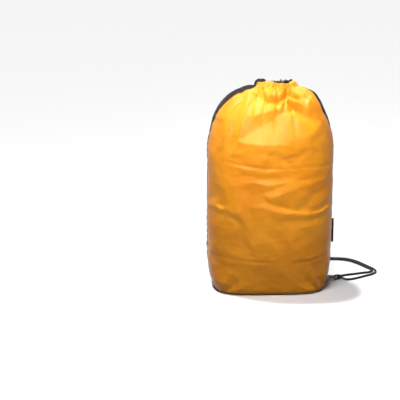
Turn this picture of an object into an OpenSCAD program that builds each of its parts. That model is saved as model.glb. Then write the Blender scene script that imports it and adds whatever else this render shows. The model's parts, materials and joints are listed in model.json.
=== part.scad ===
// Stuff sack with a cloth front, a mesh back and a drawcord that doubles as a shoulder strap.
// The sack stands filled on its boxed base, with its cloth front towards -Y and its side loop towards +X.

/* [Sack] */
// Height of the filled sack, from the floor to the top of its gathered mouth
sack_h = 350; // [300:5:450]
// Width of the filled sack across its side seams
sack_w = 208; // [180:2:250]
// Depth of the filled sack, from the cloth front to the mesh back
sack_d = 134; // [110:2:170]
// Width across the foot of the boxed base
base_w = 180; // [150:2:200]
// Depth of the boxed base
base_d = 130; // [104:2:160]
// Height over which the walls swell from the base to the full width
base_rise = 80; // [40:5:120]
// Radius of the soft edge between base and walls
base_edge_r = 6; // [3:0.5:10]
// Height where the shoulders begin to close in
shoulder_z = 230; // [180:5:260]
// Thickness that stands for the cloth and the mesh
cloth_t = 1.2; // [0.8:0.1:2]

/* [Outline] */
// Squareness of the base outline, where 2 is an ellipse
base_square = 4; // [2.5:0.1:5]
// Squareness of the outline halfway up
body_square = 2.6; // [2.2:0.1:3.5]
// Squareness of the outline at the mouth
mouth_square = 2; // [2:0.1:2.4]
// How late the shoulders turn in
shoulder_late = 2; // [1.8:0.1:3]
// How full the shoulders are
shoulder_full = 0.52; // [0.5:0.02:0.8]

/* [Mouth] */
// Half the width of the drawn mouth, along the middle of its casing
mouth_a = 28; // [22:1:40]
// Half the depth of the drawn mouth, along the middle of its casing
mouth_b = 13; // [11:1:18]
// Width of the bunched casing
casing_w = 11; // [9:0.5:13]
// Height of the bunched casing
casing_h = 12; // [9:0.5:16]
// Thickness that stands for the casing's cloth
casing_t = 0.8; // [0.5:0.1:1.5]
// Half angle of the gap in the back of the casing that the cord leaves by
exit_half = 22; // [16:1:30]

/* [Folds] */
// How far the largest fold of the front stands out
front_fold = 5; // [3:0.5:6]
// How far the largest fold of the back stands out
back_fold = 3.5; // [2:0.5:4.5]
// Height over which the folds die out under the casing
fold_fade = 8; // [6:1:20]
// How far the deepest valley between the folds may sink in
fold_in = 1.8; // [0.5:0.1:2]

/* [Cord] */
// Diameter of the braided cord
cord_d = 3.5; // [3:0.1:4]
// Radius of the knot that joins both strands
knot_r = 4.4; // [3.8:0.1:4.5]

/* [Seams and trim] */
// Width of the binding that shows along each side seam
binding_w = 3; // [2:0.5:5]
// How far the binding stands out from the seam
binding_out = 1.6; // [1:0.1:2.5]
// Width of the tapes that cover the seams inside
tape_w = 9; // [6:0.5:14]
// Thickness of those tapes
tape_t = 0.7; // [0.4:0.1:1.2]
// Height of the side tab along the seam
tab_h = 41; // [20:1:60]
// Height of the tab's lower end above the floor
tab_z = 72; // [50:1:110]
// How far the tab stands out beyond the seam
tab_out = 5; // [3:0.5:10]
// Thickness of the folded tab
tab_t = 1.8; // [1.2:0.1:3]
// Width of the webbing loop
loop_w = 7.6; // [6:0.2:10]
// Thickness of the webbing
loop_t = 1; // [0.7:0.1:1.4]
// Length of the webbing loop, from the seam to the middle of its bend
loop_len = 9; // [8:0.5:14]
// Length of the bar of stitches that holds the loop
bartack_len = 6; // [3:0.5:7]
// Width of that bar of stitches
bartack_w = 1.3; // [1:0.1:1.6]
// Height of that bar of stitches
bartack_t = 0.5; // [0.3:0.1:0.8]

/* [Clasp] */
// Thickness of the clasp's hook
hook_t = 2.6; // [2.2:0.1:3.2]
// Radius of the opening in the hook
hook_in_r = 4.4; // [4.2:0.1:5.2]
// Width of metal around the opening
hook_bar = 1.7; // [1.5:0.1:2]
// Radius of the barrel that holds the swivel
barrel_r = 2.3; // [2.1:0.1:2.6]
// Length of that barrel
barrel_len = 3.2; // [2.6:0.2:4.6]
// Radius of the swivel's stem
stem_r = 1.1; // [0.9:0.05:1.3]
// Radius of the swivel's wire
wire_r = 1; // [0.9:0.05:1.2]
// Radius of the pin that the gate turns on
pin_r = 0.6; // [0.5:0.05:0.7]
// Thickness of the gate where the pin passes through it
hub_t = 1.2; // [1:0.05:1.3]
// Radius of the wire of the gate's spring
spring_wire_r = 0.16; // [0.12:0.01:0.18]
// Turns of the gate's spring
spring_turns = 2; // [1:1:2]
// Thickness of each ear beside the gate
ear_t = 0.8; // [0.6:0.05:1.2]

/* [Fits] */
// Gap all round a turning stem or pin
turn_gap = 0.05; // [0.02:0.01:0.1]
// Gap between a moving piece and the pieces beside it
side_gap = 0.2; // [0.1:0.05:0.3]
// Gap between cord or webbing and the metal that it passes round
soft_gap = 0.3; // [0.2:0.05:0.5]

/* [Hidden] */
$fn = 48;
COLUMNS = 25;
CORD_SIDES = 8;
LABEL_SPLIT = 15;
base_line_end = 3;
CLOTH = "#e8952c";
BLACK = "#1b1b1d";
MESH = "#3a2a1e";
SILVER = "#d9dadb";
METAL = "#4a4b4f";

casing_z = sack_h - casing_h / 2;
neck_z = sack_h - casing_h + 3 * casing_t;
neck_a = mouth_a + 0.3 * casing_w;
neck_b = mouth_b + 0.3 * casing_w;
shoulder_h = neck_z - shoulder_z;
cord_r = cord_d / 2;

// The clasp lies between the loop at the foot of the side seam and the knot.
clasp_turn = 21;
clasp_dip = 6.6;
loop_pos = [97, 2.8, 7.7];
loop_in_r = wire_r + soft_gap;
loop_out_r = loop_in_r + loop_t;
eye_r = norm([loop_w / 2 + side_gap, loop_out_r]) + wire_r;
barrel_u = eye_r + wire_r + side_gap;
head_u = barrel_u + barrel_len + side_gap / 2;
head_t = 0.8;
head_r = stem_r + 0.7;
ring_u = barrel_u + barrel_len + hook_in_r;
hook_out_r = hook_in_r + hook_bar;
nose_u = ring_u + hook_in_r + hook_bar / 2;
pivot = [ring_u - hook_in_r, hook_in_r + side_gap];
slot_t = hub_t + 4 * spring_wire_r + 3 * side_gap;
ear_r = pin_r + 1.3;
hub_r = pin_r + 0.9;
gate_reach = 7.9;
bight_wire_r = cord_r - 0.15;
bight_r = norm([hook_bar / 2, hook_t / 2]) + bight_wire_r + soft_gap / 3;
bight_v = -1.5;
bight_u = ring_u + sqrt(pow(hook_in_r + hook_bar / 2, 2) - pow(bight_v, 2));
knot_u = nose_u + bight_r + knot_r - 1;

// Each strand leaves the back of the mouth, hangs down behind the sack and lies on the floor to the knot.
ROUTE_A = [
    [10.5, 12, 344], [5.5, 14.5, 344], [2.8, 21, 343], [3, 31, 339.5], [4, 42, 329], [6, 53, 312],
    [9, 61.5, 291], [13, 67.5, 266], [18, 70, 238], [24, 70, 208], [30, 69.5, 178], [36, 69, 148],
    [42, 68.5, 118], [48, 68.5, 90], [54, 70, 64], [60, 73, 41], [67, 79, 22], [76, 88, 8],
    [86, 98, 2.4], [96, 108, 2], [107, 115, 2], [123, 114, 2], [138, 112, 2], [150, 106, 2],
    [160, 95, 2], [169, 81, 2], [177, 67, 2], [183, 57, 2], [184, 49, 2], [178, 43, 2],
    [166, 39, 2], [151, 34, 2], [137, 29.5, 2], [128, 24.5, 2.5], [123, 16.5, 3.7]];
ROUTE_B = [
    [-10.5, 12, 344], [-5.5, 14.5, 344], [-2.8, 21, 343], [-2, 31, 339.5], [-1, 42, 329], [1, 53, 312],
    [4, 61.5, 291], [8, 68, 266], [13, 70.5, 238], [19, 70.5, 208], [25, 70.5, 178], [31, 70, 148],
    [37, 70, 118], [43, 71, 90], [49, 73, 64], [55, 77, 41], [62, 84, 22], [71, 94, 8],
    [81, 104, 2.4], [92, 114, 2], [106, 121, 2], [124, 119, 2], [140, 117, 2], [153, 111, 2],
    [165, 99, 2], [174, 84, 2], [182, 70, 2], [188, 58, 2], [190, 47, 2], [186, 37, 2],
    [176, 28, 2], [165, 21, 2], [153, 13, 2], [142, 7.5, 2], [133, 6, 2.5], [125.3, 9.5, 3.9]];

// Lines of folds in the gathered cloth, between which it lies in facets, each a line of points:
// [x, height, share of the largest fold that it stands out by, where less than 0 is a valley]
FRONT_FOLDS = [
    [[-56, 263, 0.5], [-36, 259, 0.9], [-14, 257, 1], [24, 256, 1.1]],
    [[24, 256, 1.1], [30, 262, 0.4], [57, 270, 1], [78, 290, 0.6], [80, 304, 0.1]],
    [[-64, 248, 0], [-36, 243, 0], [24, 240, 0], [62, 256, 0], [88, 272, 0]],
    [[28, 312, -0.5], [-10, 288, -0.5], [-53, 266, 0]],
    [[-16, 334, 0.1], [-32, 302, 0.95], [6, 308, 0.4]],
    [[31, 320, -0.6], [44, 311, -0.6], [56, 302, -0.4], [66, 294, -0.1]],
    [[24, 327, 0.2], [56, 314, 0.7], [70, 304, 0.5]],
    [[40, 290, 0.3], [62, 287, 0.7]],
    [[23, 342, -0.5], [40, 331, -0.6], [52, 324, -0.3]],
    [[34, 345, 0.6], [60, 328, 0.8], [82, 292, 0.4], [88, 262, 0.1]],
    [[-10, 334, 1.2], [4, 330, 1.4], [18, 332, 1.2]],
    [[-10, 318, -0.1], [14, 316, 0]],
    [[-46, 326, 0.3], [-44, 306, 0.4], [-58, 268, 0.2]],
    [[-54, 322, -0.3], [-66, 268, -0.3], [-70, 238, -0.1]],
    [[-66, 318, 0.3], [-80, 258, 0.35]],
    [[-86, 286, 0], [-91, 250, 0]]];
BACK_FOLDS = [
    [[-26, 326, -0.3], [-42, 296, -0.35], [-58, 256, -0.25]],
    [[-10, 322, 0.55], [-24, 292, 1.1], [-40, 256, 0.65]],
    [[3, 330, -0.15], [8, 290, -0.15], [22, 236, -0.1]],
    [[22, 324, 0.45], [40, 284, 0.75], [46, 250, 0.5]],
    [[40, 318, -0.15], [50, 296, -0.15], [66, 246, -0.1]],
    [[52, 318, 0.3], [68, 286, 0.7], [82, 250, 0.45]],
    [[-40, 318, 0.85], [-62, 296, 0.85], [-82, 246, 0.4]],
    [[-90, 238, 0.1], [-40, 234, 0.1], [0, 234, 0], [90, 234, 0]]];

// ---- Outline of the filled sack ----

function swell(z) = z < base_rise ? 1 - pow(1 - z / base_rise, 3) : 1;
function close_in(z) = z > shoulder_z
    ? pow(max(0, 1 - pow((z - shoulder_z) / shoulder_h, shoulder_late)), shoulder_full) : 1;
function half_size(z, foot, full, neck) = z > shoulder_z
    ? neck + (full - neck) * close_in(z)
    : foot + (full - foot) * swell(z);
function half_w(z) = half_size(z, base_w / 2, sack_w / 2, neck_a);
function half_d(z) = half_size(z, base_d / 2, sack_d / 2, neck_b);
function squareness(z) = z > shoulder_z
    ? mouth_square + (body_square - mouth_square) * close_in(z)
    : base_square + (body_square - base_square) * swell(z);

// A point of the outline w by d, in direction a
function outline(w, d, n, a, z) =
    let (r = pow(pow(abs(cos(a)) / w, n) + pow(abs(sin(a)) / d, n), -1 / n))
    [r * cos(a), r * sin(a), z];

// Rows up the wall, at depth t inside it: [height that sets the outline, height, inset]
function edge_row(a, t) = let (e = base_edge_r)
    [e * (1 - cos(a)), e - (e - t) * cos(a), e - (e - t) * sin(a)];
function shoulder_row(b, t) = let (z = shoulder_z + shoulder_h * sin(b))
    [z, z - t * sin(b), t * cos(b), b];
function wall_rows(t) = concat(
    [for (a = [0:30:60]) edge_row(a, t)],
    [for (s = [0, 0.08, 0.18, 0.32, 0.55, 0.8])
        let (z = base_edge_r + (shoulder_z - base_edge_r) * s) [z, z, t]],
    [for (b = [0, 8, 16, 23, 30, 37, 43, 49, 55, 61, 66, 76, 84, 90]) shoulder_row(b, t)]);

function row_points(row, start, from = 0, to = COLUMNS) =
    [for (c = [from:to])
        outline(half_w(row[0]) - row[2], half_d(row[0]) - row[2], squareness(row[0]),
            start + 180 * c / COLUMNS, row[1])];

// How strongly the fold line from p to q pulls on the cloth at a point, and that times its share there
function fold_pull(p, q, x, z) = let (d = [q.x - p.x, q.y - p.y],
    t = max(0, min(1, ((x - p.x) * d.x + (z - p.y) * d.y) / (d * d))),
    gap = [x - p.x - t * d.x, z - p.y - t * d.y],
    pull = pow(gap * gap + 4, -1.6) * sqrt(norm(d)))
    [pull, pull * (p[2] + (q[2] - p[2]) * t)];
function fold_share(folds, x, z) = let (
    pulls = [for (line = folds) for (i = [0:len(line) - 2]) fold_pull(line[i], line[i + 1], x, z)],
    total = [for (p = pulls) 1] * pulls) total[1] / total[0];
// How far the folds stand out at a point, which is nothing at the side seams and under the casing
function fold_out(x, y, z) = let (front = y < 0)
    max(-fold_in, (front ? front_fold : back_fold) * fold_share(front ? FRONT_FOLDS : BACK_FOLDS, x, z)
        * min(1, abs(y) / 14) * min(1, max(0, (neck_z - z) / fold_fade)));
function fold_points(row, start) = row[3] == undef ? row_points(row, start) :
    [for (c = [0:COLUMNS]) let (a = start + 180 * c / COLUMNS,
        bare = outline(half_w(row[0]), half_d(row[0]), squareness(row[0]), a, row[0]),
        out = fold_out(bare.x, bare.y, row[0]),
        inset = row[2] - out * cos(row[3]))
        outline(half_w(row[0]) - inset, half_d(row[0]) - inset, squareness(row[0]), a,
            row[1] + out * sin(row[3]))];
function wall_grid(t, start) = [for (row = wall_rows(t)) fold_points(row, start)];

// The middle line of the base, from one side seam to the other
function base_line(t, start, from = 0, to = COLUMNS) = let (reach = half_w(0) - base_edge_r - base_line_end)
    [for (c = [from:to]) [cos(start) * reach * (1 - 2 * c / COLUMNS), 0, t]];

// ---- Closed solids from rows of points ----

function joined(grid) = [for (row = grid) for (p = row) p];
function quad(a, b, c, d, other = false) = other ? [[a, b, d], [b, c, d]] : [[a, b, c], [a, c, d]];

// A sheet with a thickness: outer and inner are grids of the same size, cut along mirrored diagonals.
module sheet(outer, inner) {
    rows = len(outer);
    cols = len(outer[0]);
    back = rows * cols;
    function at(r, c) = r * cols + c;
    faces = [
        for (r = [0:rows - 2]) for (c = [0:cols - 2]) let (late = c >= (cols - 1) / 2) each concat(
            quad(at(r, c), at(r + 1, c), at(r + 1, c + 1), at(r, c + 1), late),
            quad(back + at(r, c), back + at(r, c + 1), back + at(r + 1, c + 1), back + at(r + 1, c), late)),
        for (c = [0:cols - 2]) each concat(
            quad(at(0, c), at(0, c + 1), back + at(0, c + 1), back + at(0, c)),
            quad(at(rows - 1, c + 1), at(rows - 1, c), back + at(rows - 1, c), back + at(rows - 1, c + 1))),
        for (r = [0:rows - 2]) each concat(
            quad(at(r + 1, 0), at(r, 0), back + at(r, 0), back + at(r + 1, 0)),
            quad(at(r, cols - 1), at(r + 1, cols - 1), back + at(r + 1, cols - 1), back + at(r, cols - 1)))];
    polyhedron(joined(concat(outer, inner)), faces);
}

// A tube through closed rings of points, with a bore where inner rings are given
module tube(outer, inner = []) {
    rings = len(outer);
    sides = len(outer[0]);
    bore = rings * sides;
    function at(r, s) = r * sides + s % sides;
    wall = [for (r = [0:rings - 2]) for (s = [0:sides - 1])
        each quad(at(r + 1, s), at(r + 1, s + 1), at(r, s + 1), at(r, s))];
    bore_wall = [for (r = [0:rings - 2]) for (s = [0:sides - 1])
        each quad(bore + at(r, s + 1), bore + at(r + 1, s + 1), bore + at(r + 1, s), bore + at(r, s))];
    lips = [for (s = [0:sides - 1]) each concat(
        quad(at(0, s + 1), bore + at(0, s + 1), bore + at(0, s), at(0, s)),
        quad(at(rings - 1, s), bore + at(rings - 1, s), bore + at(rings - 1, s + 1), at(rings - 1, s + 1)))];
    caps = [[for (s = [0:sides - 1]) at(0, s)], [for (s = [sides - 1:-1:0]) at(rings - 1, s)]];
    if (len(inner) > 0)
        polyhedron(joined(concat(outer, inner)), concat(wall, bore_wall, lips));
    else
        polyhedron(joined(outer), concat(wall, caps));
}

function unit(v) = v / norm(v);
function along(points, i) = unit(points[min(i + 1, len(points) - 1)] - points[max(i - 1, 0)]);
// A side direction for each point of a line, carried along it without a twist
function carried(points) =
    [for (i = 0, n = unit(cross(along(points, 0), [0.1, 0.2, 1])); i < len(points);
        i = i + 1, n = i < len(points) ? unit(n - (n * along(points, i)) * along(points, i)) : n) n];
function round_rings(points, r) = let (normals = carried(points))
    [for (i = [0:len(points) - 1]) let (n = normals[i], b = cross(along(points, i), n))
        [for (s = [0:CORD_SIDES - 1]) let (a = 360 * s / CORD_SIDES)
            points[i] + r * (cos(a) * n + sin(a) * b)]];

module cord(points) {
    color(BLACK) tube(round_rings(points, cord_r));
}

// ---- Cloth, mesh and label ----

module front_panel() {
    color(CLOTH) sheet(
        concat([base_line(0, 180)], wall_grid(0, 180)),
        concat([base_line(cloth_t, 180)], wall_grid(cloth_t, 180)));
}

module mesh_panel() {
    color(MESH) sheet(wall_grid(0, 0), wall_grid(cloth_t, 0));
}

// The back half of the base is a printed band, black on one side and silver on the other.
module base_band(from, to) {
    sheet(
        [base_line(0, 0, from, to), row_points(edge_row(0, 0), 0, from, to)],
        [base_line(cloth_t, 0, from, to), row_points(edge_row(0, cloth_t), 0, from, to)]);
}

module label_band() {
    color(BLACK) base_band(0, LABEL_SPLIT);
}

module label_patch() {
    color(SILVER) base_band(LABEL_SPLIT, COLUMNS);
}

// ---- Drawcord casing at the mouth ----

function mouth_point(a) = [mouth_a * cos(a), mouth_b * sin(a), casing_z];
function mouth_outward(a) = unit([cos(a) / mouth_a, sin(a) / mouth_b, 0]);
function casing_rings(a0, a1, t) = let (steps = ceil((a1 - a0) / 12))
    [for (i = [0:steps]) let (a = a0 + (a1 - a0) * i / steps)
        [for (s = [0:30:330]) mouth_point(a)
            + (casing_w / 2 - t) * cos(s) * mouth_outward(a) - [0, 0, (casing_h / 2 - t) * sin(s)]]];

module casing(a0, a1) {
    tube(casing_rings(a0, a1, 0), casing_rings(a0, a1, casing_t));
}

module front_casing() {
    color(CLOTH) casing(180, 360);
}

module back_casing_left() {
    color(BLACK) casing(90 + exit_half, 180);
}

module back_casing_right() {
    color(BLACK) casing(0, 90 - exit_half);
}

// ---- Bindings, tapes, tab and loop ----

// A band that follows the wall from height z0 to z1, from depth t0 to t1 inside it and y0 to y1 across it
module seam_band(side, z0, z1, t0, t1, width) {
    heights = [for (s = [0:0.125:1]) z0 + (z1 - z0) * sin(90 * s)];
    function strip(t) = [for (z = heights) [for (y = [-width / 2, width / 2])
        [side * (half_w(z) - t), side * y, z]]];
    sheet(strip(t0), strip(t1));
}

module side_binding(side) {
    color(BLACK) seam_band(side, loop_pos.z + loop_out_r + side_gap, neck_z - 3 * casing_t,
        -binding_out, 0, binding_w);
}

module side_binding_left() {
    side_binding(-1);
}

module side_binding_right() {
    side_binding(1);
}

corner_tape_x = base_w / 2 - base_edge_r - tape_w;

module base_tape() {
    length = 2 * (corner_tape_x - tape_w / 2 - side_gap);
    color(BLACK) translate([-length / 2, -tape_w / 2, cloth_t]) cube([length, tape_w, tape_t]);
}

module corner_tape(side) {
    length = base_d * 0.7;
    color(BLACK) translate([side * corner_tape_x - tape_w / 2, -length / 2, cloth_t])
        cube([tape_w, length, tape_t]);
}

module corner_tape_left() {
    corner_tape(-1);
}

module corner_tape_right() {
    corner_tape(1);
}

module back_hem_tape() {
    z0 = base_edge_r;
    rows = [for (z = [z0, z0 + tape_w / 2, z0 + tape_w]) z];
    function strip(t) = [for (z = rows) row_points([z, z, t], 0, 4, COLUMNS - 4)];
    color(BLACK) sheet(strip(cloth_t), strip(cloth_t + tape_t));
}

module side_tab() {
    seam_x = half_w(tab_z + tab_h / 2);
    r = tab_t / 2;
    color(BLACK) translate([seam_x, 0, tab_z]) {
        translate([0, -r, 0]) cube([tab_out - r, tab_t, tab_h]);
        translate([tab_out - r, 0, 0]) cylinder(h = tab_h, r = r);
    }
}

// Places what follows at the bar of the swivel: x along the clasp, y along the bar
module at_clasp() {
    translate(loop_pos) rotate([0, clasp_dip, clasp_turn]) children();
}

module at_loop() {
    translate(loop_pos) rotate([0, 0, clasp_turn]) children();
}

module webbing_loop() {
    color(BLACK) at_loop() rotate([90, 0, 0]) translate([0, 0, -loop_w / 2]) linear_extrude(loop_w) {
        difference() {
            circle(loop_out_r);
            circle(loop_in_r);
            translate([-2 * loop_out_r, -loop_out_r]) square(2 * loop_out_r);
        }
        for (side = [-1, 1])
            translate([-loop_len, side * (loop_in_r + loop_t / 2) - loop_t / 2]) square([loop_len, loop_t]);
    }
}

module loop_bartack() {
    color(BLACK) at_loop() translate([-loop_in_r - bartack_w, -bartack_len / 2, loop_out_r])
        cube([bartack_w, bartack_len, bartack_t]);
}

// ---- Drawcord, strap and knot ----

module drawcord() {
    sweep = 360 - 2 * exit_half;
    cord([for (i = [0:36]) mouth_point(90 + exit_half + sweep * i / 36)]);
}

module strap_cord_a() {
    cord(ROUTE_A);
}

module strap_cord_b() {
    cord(ROUTE_B);
}

// The end of the cord passes through the hook and back into the knot.
module cord_bight() {
    color(BLACK) at_clasp() translate([bight_u, bight_v, 0]) rotate([90, 0, 0]) {
        rotate([0, 0, 90]) rotate_extrude(angle = 180) translate([bight_r, 0]) circle(bight_wire_r);
        for (side = [-1, 1])
            translate([0, side * bight_r, 0]) rotate([0, 90, 0]) cylinder(h = bight_r, r = bight_wire_r);
    }
}

module strap_knot() {
    color(BLACK) at_clasp() translate([knot_u, 0, 0]) sphere(knot_r);
}

// ---- Clasp ----

module swivel_eye() {
    color(METAL) at_clasp() {
        rotate([90, 0, 0]) cylinder(h = 2 * eye_r, r = wire_r, center = true);
        rotate([0, 0, -90]) rotate_extrude(angle = 180) translate([eye_r, 0]) circle(wire_r);
        for (side = [-1, 1])
            translate([0, side * eye_r, 0]) sphere(wire_r);
        translate([eye_r, 0, 0]) rotate([0, 90, 0]) cylinder(h = head_u - eye_r + head_t / 2, r = stem_r);
        translate([head_u, 0, 0]) rotate([0, 90, 0]) cylinder(h = head_t, r = head_r);
    }
}

module hook_ring() {
    translate([ring_u, 0]) difference() {
        circle(hook_out_r);
        circle(hook_in_r);
    }
}

// The part of the ring that the gate closes, out to radius r about its pin
module gate_window(start, r) {
    intersection() {
        translate(pivot) circle(r);
        translate([start, side_gap]) square(2 * hook_out_r);
    }
}

module clasp_body() {
    color(METAL) at_clasp() difference() {
        union() {
            translate([0, 0, -hook_t / 2]) linear_extrude(hook_t) difference() {
                hook_ring();
                gate_window(pivot.x + ear_r, gate_reach + side_gap);
            }
            translate([barrel_u, 0, 0]) rotate([0, 90, 0]) cylinder(h = barrel_len, r = barrel_r);
            translate([pivot.x, pivot.y, -slot_t / 2 - ear_t]) cylinder(h = slot_t + 2 * ear_t, r = ear_r);
        }
        translate([barrel_u - 1, 0, 0]) rotate([0, 90, 0])
            cylinder(h = barrel_len + head_t + 2, r = stem_r + turn_gap);
        translate([head_u - side_gap / 2, 0, 0]) rotate([0, 90, 0])
            cylinder(h = head_t + side_gap * 2, r = head_r + turn_gap);
        translate([pivot.x, pivot.y, -slot_t / 2]) cylinder(h = slot_t, r = hub_r + 2 * side_gap);
        translate([pivot.x, pivot.y - hub_r - side_gap, -slot_t / 2])
            cube([2 * ear_r, 2 * hub_r + 2 * side_gap, slot_t]);
        translate([pivot.x, pivot.y, -slot_t]) cylinder(h = 2 * slot_t, r = pin_r);
    }
}

module clasp_gate() {
    arm_start = pivot.x + ear_r + side_gap;
    color(METAL) at_clasp() difference() {
        union() {
            translate([0, 0, -hook_t / 2]) linear_extrude(hook_t) intersection() {
                hook_ring();
                gate_window(arm_start, gate_reach);
            }
            translate([0, 0, hub_z]) linear_extrude(hub_t) {
                translate(pivot) circle(hub_r);
                translate([pivot.x, pivot.y - hub_r / 2]) square([ear_r + 2 * side_gap, hub_r]);
            }
            translate([ring_u - 0.6, hook_out_r - 0.6, 0]) rotate([-90, 0, 0]) cylinder(h = 1.5, r = 0.9);
        }
        translate([pivot.x, pivot.y, -slot_t]) cylinder(h = 2 * slot_t, r = pin_r + turn_gap);
    }
}

hub_z = -slot_t / 2 + side_gap;

module gate_pin() {
    color(METAL) at_clasp() translate([pivot.x, pivot.y, -slot_t / 2 - ear_t])
        cylinder(h = slot_t + 2 * ear_t, r = pin_r);
}

module gate_spring() {
    coil_r = pin_r + turn_gap + 0.1 + spring_wire_r;
    pitch = 2.1 * spring_wire_r;
    low = hub_z + hub_t + side_gap + spring_wire_r;
    steps = 14 * spring_turns;
    line = [for (i = [0:steps]) let (a = 360 * i / 14)
        [coil_r * cos(a), coil_r * sin(a), low + pitch * a / 360]];
    color(METAL) at_clasp() translate([pivot.x, pivot.y, 0]) tube(round_rings(line, spring_wire_r));
}

front_panel();
mesh_panel();
label_band();
label_patch();
front_casing();
back_casing_left();
back_casing_right();
side_binding_left();
side_binding_right();
base_tape();
corner_tape_left();
corner_tape_right();
back_hem_tape();
side_tab();
webbing_loop();
loop_bartack();
drawcord();
strap_cord_a();
strap_cord_b();
cord_bight();
strap_knot();
swivel_eye();
clasp_body();
clasp_gate();
gate_pin();
gate_spring();
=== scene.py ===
# %% [markdown]
# # A drawstring stuff sack
#
# This lesson dresses the CAD model of a filled stuff sack: coated orange nylon in front, black
# mesh behind, a boxed base with a label strip, a gathered mouth, and a cord that comes out of the
# mouth and clips to the foot of the side seam. The CAD model gives every place and size, in metres,
# and each new piece stands for one of its nodes.

# %% Load the frame
import json
import math
import random

import bmesh
import bpy
import numpy as np
from mathutils import Matrix, Vector, noise
from mathutils.bvhtree import BVHTree
from mathutils.geometry import delaunay_2d_cdt

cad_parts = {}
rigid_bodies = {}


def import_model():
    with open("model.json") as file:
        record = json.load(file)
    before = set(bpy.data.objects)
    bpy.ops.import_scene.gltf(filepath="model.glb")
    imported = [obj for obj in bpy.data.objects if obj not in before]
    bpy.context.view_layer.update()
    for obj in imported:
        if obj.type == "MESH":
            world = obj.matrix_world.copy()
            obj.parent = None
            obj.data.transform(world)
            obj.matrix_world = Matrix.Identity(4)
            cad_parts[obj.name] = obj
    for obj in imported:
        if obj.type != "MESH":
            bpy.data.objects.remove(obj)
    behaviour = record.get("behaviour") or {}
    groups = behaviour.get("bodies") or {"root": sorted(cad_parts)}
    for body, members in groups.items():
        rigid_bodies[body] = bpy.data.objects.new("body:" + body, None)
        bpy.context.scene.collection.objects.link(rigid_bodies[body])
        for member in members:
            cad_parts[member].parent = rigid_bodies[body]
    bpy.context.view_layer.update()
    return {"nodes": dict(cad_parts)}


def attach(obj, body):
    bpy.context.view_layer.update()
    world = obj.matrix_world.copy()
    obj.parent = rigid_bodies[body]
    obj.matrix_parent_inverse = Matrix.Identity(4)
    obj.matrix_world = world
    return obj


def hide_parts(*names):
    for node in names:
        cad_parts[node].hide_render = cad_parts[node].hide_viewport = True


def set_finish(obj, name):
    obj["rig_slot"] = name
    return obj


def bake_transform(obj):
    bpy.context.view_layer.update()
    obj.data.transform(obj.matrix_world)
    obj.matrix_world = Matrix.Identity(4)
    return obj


for leftover in list(bpy.data.objects):
    bpy.data.objects.remove(leftover)
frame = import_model()
nodes = frame["nodes"]
MM = 0.001


def placed(name, data):
    """A new object with this data, in the scene."""
    made = bpy.data.objects.new(name, data)
    bpy.context.scene.collection.objects.link(made)
    return made


# %% [markdown]
# ## Camera
#
# A long lens, about 2.5 m away and looking down by 16.5 degrees, keeps the sack's sides nearly
# parallel. The sack stands right of the middle, so that the cord and its clasp have room on the
# floor beside it.

# %% Place the camera
CAMERA_PLACE = (-0.199, -2.381, 0.852)
CAMERA_TILT, CAMERA_TURN = math.radians(16.48), math.radians(2.0)
camera = placed("camera", bpy.data.cameras.new("camera"))
camera.data.lens, camera.data.sensor_width = 134.2, 36
camera.location = CAMERA_PLACE
camera.rotation_euler = (math.radians(90) - CAMERA_TILT, 0, -CAMERA_TURN)
bpy.context.scene.camera = camera

# %% [markdown]
# ## One helper for every swept or lofted piece
#
# Cloth, cord, tape and piping are all a sheet of small quads that is laid somewhere. bmesh's grid
# operator makes the quads, and a table of places then says where the point of row j and column i
# goes. A sheet that meets itself, such as a tube, is closed by merging the points that land on each
# other. The grid's own columns and rows are also its UV map, in metres of cloth, so that a weave
# keeps its size and follows every fold.

# %% The sheet helper
SAME_POINT = 1e-7


def smooth_piece(name, bm):
    """The bmesh as a smoothly shaded object."""
    mesh = bpy.data.meshes.new(name)
    bm.to_mesh(mesh)
    bm.free()
    mesh.shade_smooth()
    return placed(name, mesh)


def sheet_of(name, places, cloth):
    """A mesh object from a grid: places[j, i] is the point of row j and column i, cloth[j, i] its UV."""
    rows, columns = places.shape[0] - 1, places.shape[1] - 1
    bm = bmesh.new()
    uv = bm.loops.layers.uv.new("cloth")
    bmesh.ops.create_grid(bm, x_segments=columns, y_segments=rows, size=0.5)
    for v in bm.verts:
        v.index = round((v.co.x + 0.5) * columns) + round((v.co.y + 0.5) * rows) * (columns + 1)
    flat_places, flat_cloth = places.reshape(-1, 3), cloth.reshape(-1, 2)
    for face in bm.faces:
        for loop in face.loops:
            loop[uv].uv = flat_cloth[loop.vert.index]
    for v in bm.verts:
        v.co = flat_places[v.index]
    bmesh.ops.remove_doubles(bm, verts=bm.verts, dist=SAME_POINT)
    bmesh.ops.recalc_face_normals(bm, faces=bm.faces)
    return smooth_piece(name, bm)


# %% Smooth lines, and sheets swept along them
def smooth_line(points, steps):
    """A smooth line through the points, with steps short pieces between each two."""
    p = np.array(points, float)
    p = np.vstack([2 * p[0] - p[1], p, 2 * p[-1] - p[-2]])
    line = []
    for a, b, c, d in zip(p, p[1:], p[2:], p[3:]):
        for t in np.arange(steps) / steps:
            line.append(0.5 * (2 * b + (c - a) * t + (2 * a - 5 * b + 4 * c - d) * t * t
                               + (3 * b - a - 3 * c + d) * t ** 3))
    return np.array(line + [p[-2]])


def way_along(points):
    """How far along the line each of its points is."""
    return np.concatenate([[0], np.cumsum(np.linalg.norm(np.diff(points, axis=0), axis=1))])


def unit(vectors):
    return vectors / np.linalg.norm(vectors, axis=1)[:, None]


def close_ends(piece):
    """Fills the open ends of a tube or strip."""
    bm = bmesh.new()
    bm.from_mesh(piece.data)
    bmesh.ops.holes_fill(bm, edges=[e for e in bm.edges if e.is_boundary], sides=0)
    bmesh.ops.recalc_face_normals(bm, faces=bm.faces)
    bm.to_mesh(piece.data)
    bm.free()


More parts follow.
